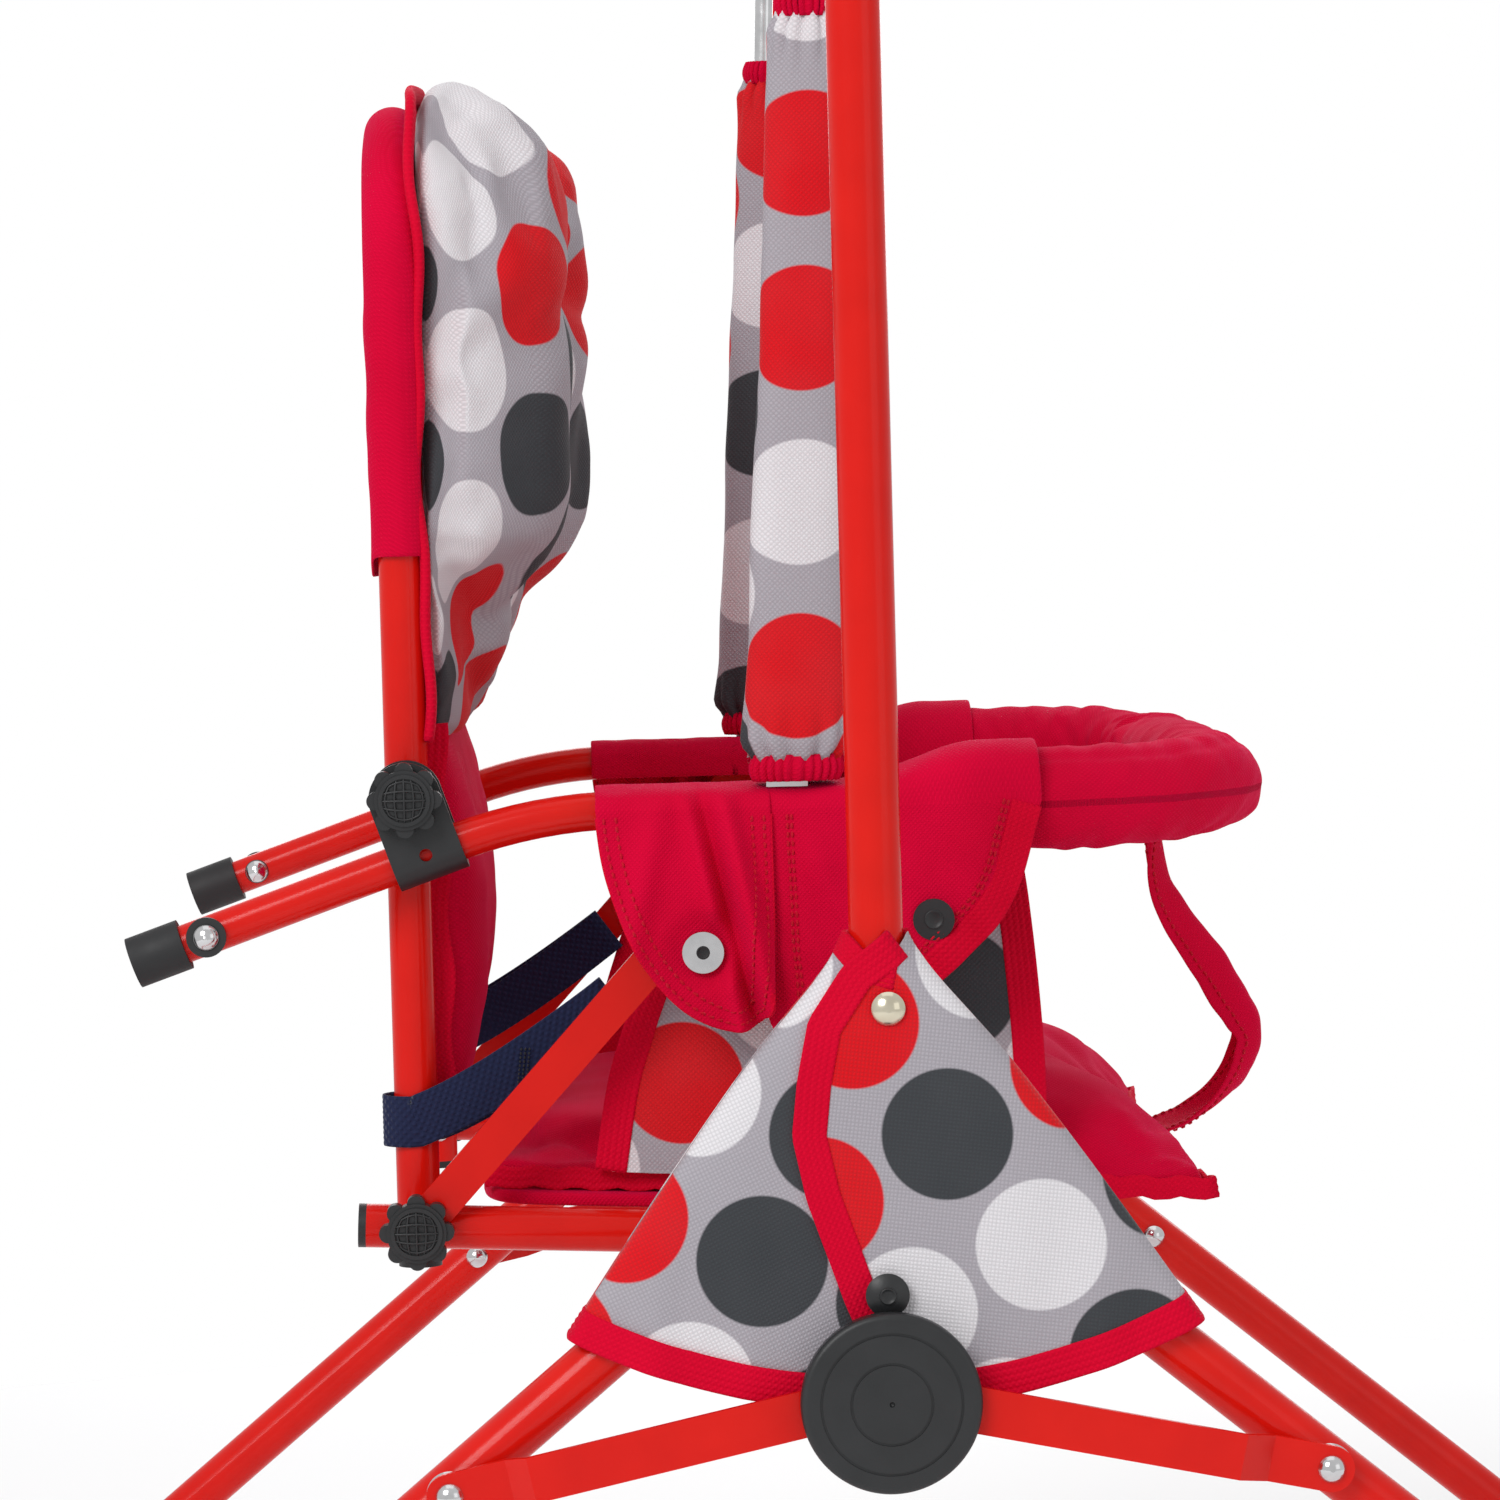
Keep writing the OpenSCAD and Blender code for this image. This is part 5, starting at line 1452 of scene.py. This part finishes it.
def makeWebbing(sideName):
    side = sides[sideName]
    tubeX, tubeY = reclinePivot.x, pocket["tubeY"]
    centreZ = web["low"] + web["width"] / 2
    runY = tubeY + web["loop"]
    path, normals = [], []

    def add(x, y, z, nx, ny):
        path.append(Vector((x, side * y, z)))
        normals.append(Vector((nx, side * ny, 0)).normalized())

    run = 20
    for k in range(run):  # the inner leg comes back to the tube
        share = k / run
        y = runY - 0.0022 - 0.006 * ease((share - 0.55) / 0.45)
        z = centreZ + web["rise"] * (1 - share) ** web["bow"]
        add(mix(web["endX"], tubeX + 0.004, share), y, z, 0, -1)
    for k in range(25):  # round the tube
        angle = radians(mix(-62, -270, k / 24))
        x = tubeX + web["loop"] * cos(angle) * (1.35 if cos(angle) < 0 else 1)
        add(x, tubeY + web["loop"] * sin(angle), centreZ - 0.0005 * k / 24, cos(angle), sin(angle))
    for k in range(1, run + 1):
        share = k / run
        add(mix(tubeX, web["endX"], share), runY, centreZ + web["rise"] * share ** web["bow"], 0, 1)
    across = [forwardAt(path, k).cross(normals[k]).normalized() for k in range(len(path))]
    steps = web["ribs"] * 2
    outline = [(web["width"] * (k / steps - 0.5), web["thickness"] / 2 * (1 if k % 2 else web["groove"]))
               for k in range(steps + 1)]
    outline += [(a, -h) for a, h in outline[::-1]]
    piece = sweep("webbing_" + sideName, path, across, outline)
    dress(piece, "backrest", navyWeb, "navy_webbing")
    tack = []
    lineX = tubeX + web["tackAt"]
    z = centreZ + web["rise"] * ((lineX - tubeX) / (web["endX"] - tubeX)) ** web["bow"]
    for shift in web["tackRows"]:
        line = []
        for t in (0, 0.25, 0.5, 0.75, 1):
            up = (t - 0.5) * web["width"] * 0.8
            line.append(Vector((lineX + shift + 0.002 * t, side * (runY + 0.0008), z + up)))
        tack.append((line, [Vector((0, side, 0))] * len(line)))
    addStitches("webbing_tack_" + sideName, tack, "backrest", blackPlastic, "navy_webbing",
                pitch=0.0016, thread=0.0004)
    return piece


webs = [makeWebbing(sideName) for sideName in sides]
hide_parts("webbing_straps")
print("webbing made")


# raised lattice on the face of each star knob

lattice = {"radius": 0.0098, "bars": 5, "bar": 0.0005, "crown": 0.0014, "bow": 0.32, "sunk": 0.0012}


def makeKnobFace(knobName):
    low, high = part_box(knobName)
    centre = (low + high) / 2
    side = 1 if centre.y > 0 else -1
    faceY = high.y if side > 0 else low.y
    bars = []
    for turned in (False, True):
        for k in range(lattice["bars"]):
            off = (k / (lattice["bars"] - 1) - 0.5) * 1.5 * lattice["radius"]
            reach = sqrt(lattice["radius"] ** 2 - off ** 2)
            path, across = [], []
            for i in range(17):
                t = 2 * i / 16 - 1
                along, bow = t * reach, off * (1 - lattice["bow"] * t * t)
                x, z = (bow, along) if turned else (along, bow)
                dome = lattice["crown"] * (1 - (x * x + z * z) / lattice["radius"] ** 2)
                path.append(Vector((centre.x + x, faceY + side * (dome - lattice["sunk"]), centre.z + z)))
                across.append(Vector((0, side, 0)).cross(Vector((0, 0, 1) if turned else (1, 0, 0))))
            outline = [(lattice["bar"] * cos(pi * q / 3), lattice["bar"] * sin(pi * q / 3)) for q in range(6)]
            bars.append(sweep(f"bar_{turned}_{k}", path, across, outline))
    face = joinPieces(knobName + "_face", bars)
    dress(face, knobName, blackPlastic, "black_plastic")


for knobName in ("clamp_knob_right", "clamp_knob_left", "pivot_knob_right", "pivot_knob_left"):
    makeKnobFace(knobName)
print("knob faces made")


# turned rings and eyes pressed into the snaps

snapEyes = {
    "ring_snap_eyes": {"on": "ring_snaps", "body": "swing", "hole": 0.0016, "ring": 0.0021,
                       "slot": "black_rubber"},
    "button_snap_eyes": {"on": "button_snaps", "body": "swing", "hole": 0.0016, "ring": 0.0032,
                         "slot": "black_plastic"},
    "hub_snap_eye_right": {"on": "hub_snap_right", "body": "hub_right", "hole": 0.0014, "ring": 0.0026,
                           "slot": "black_plastic"},
    "hub_snap_eye_left": {"on": "hub_snap_left", "body": "hub_left", "hole": 0.0014, "ring": 0.0026,
                          "slot": "black_plastic"},
}


def makeSnapEyes(name, eye):
    part = frame["nodes"][eye["on"]]
    hole, ring = eye["hole"], eye["ring"]
    groups = {}
    for v in part.data.vertices:  # one snap on each side of the object
        groups.setdefault(v.co.y > 0, []).append(v.co)
    made = []
    for far, points in groups.items():
        side = 1 if far else -1
        face = max(p.y * side for p in points)
        x = (min(p.x for p in points) + max(p.x for p in points)) / 2
        z = (min(p.z for p in points) + max(p.z for p in points)) / 2
        profile = [(0.0001, 0.0001), (hole * 0.8, 0.0001), (hole, 0.0002), (ring * 0.92, 0.0002),
                   (ring, 0.0005), (ring + 0.0004, 0.0004), (ring + 0.0006, -0.0002)]
        rows = [[Vector((x + r * cos(2 * pi * k / 40), side * (face + h), z + r * sin(2 * pi * k / 40)))
                 for k in range(40)] for r, h in profile]
        made.append(addGrid(f"{name}_{side}", rows, ring=True, caps=True))
    dress(joinPieces(name, made), eye["body"], finishes[eye["slot"]], eye["slot"])


for name, eye in snapEyes.items():
    makeSnapEyes(name, eye)
print("snap eyes made")


# finishes for the solid pieces

washer = {"on": "armrest_stops", "radius": 0.0048, "edge": 0.0002, "color": (0.014, 0.015, 0.016),
          "roughness": 0.5}


def darkenWashers(material):  # the spacer washers round the stop bolts are black, past a radius from the axis
    tree = material.node_tree
    shader = tree.nodes["Principled BSDF"]
    centre = middle(washer["on"])
    start, end = washer["radius"] - washer["edge"], washer["radius"] + washer["edge"]
    place = node(tree, "ShaderNodeTexCoord").outputs["Object"]
    flat = node(tree, "ShaderNodeVectorMath", place, (centre.x, 0, centre.z), operation="SUBTRACT").outputs[0]
    flat = node(tree, "ShaderNodeVectorMath", flat, (1, 0, 1), operation="MULTIPLY").outputs[0]
    away = node(tree, "ShaderNodeVectorMath", flat, operation="LENGTH").outputs["Value"]
    dark = node(tree, "ShaderNodeMapRange", away, start, end, 0.0, 1.0).outputs[0]
    bare = node(tree, "ShaderNodeMapRange", away, start, end, 1.0, 0.0).outputs[0]
    rough = node(tree, "ShaderNodeMapRange", dark, 0.0, 1.0, steel["roughness"],
                 washer["roughness"]).outputs[0]
    metal = shader.inputs["Base Color"].links[0].from_socket
    tree.links.new(blendColors(tree, dark, metal, washer["color"]), shader.inputs["Base Color"])
    tree.links.new(bare, shader.inputs["Metallic"])
    tree.links.new(rough, shader.inputs["Roughness"])


darkenWashers(stopMetal)
slotOf = {part["node"]: part["material_slot"] for part in frame["record"]["subparts"]}
for nodeName, part in frame["nodes"].items():
    finish = stopMetal if nodeName == washer["on"] else finishes[slotOf[nodeName]]
    part.data.materials.clear()
    part.data.materials.append(finish)
print("solid pieces finished")
print("done")
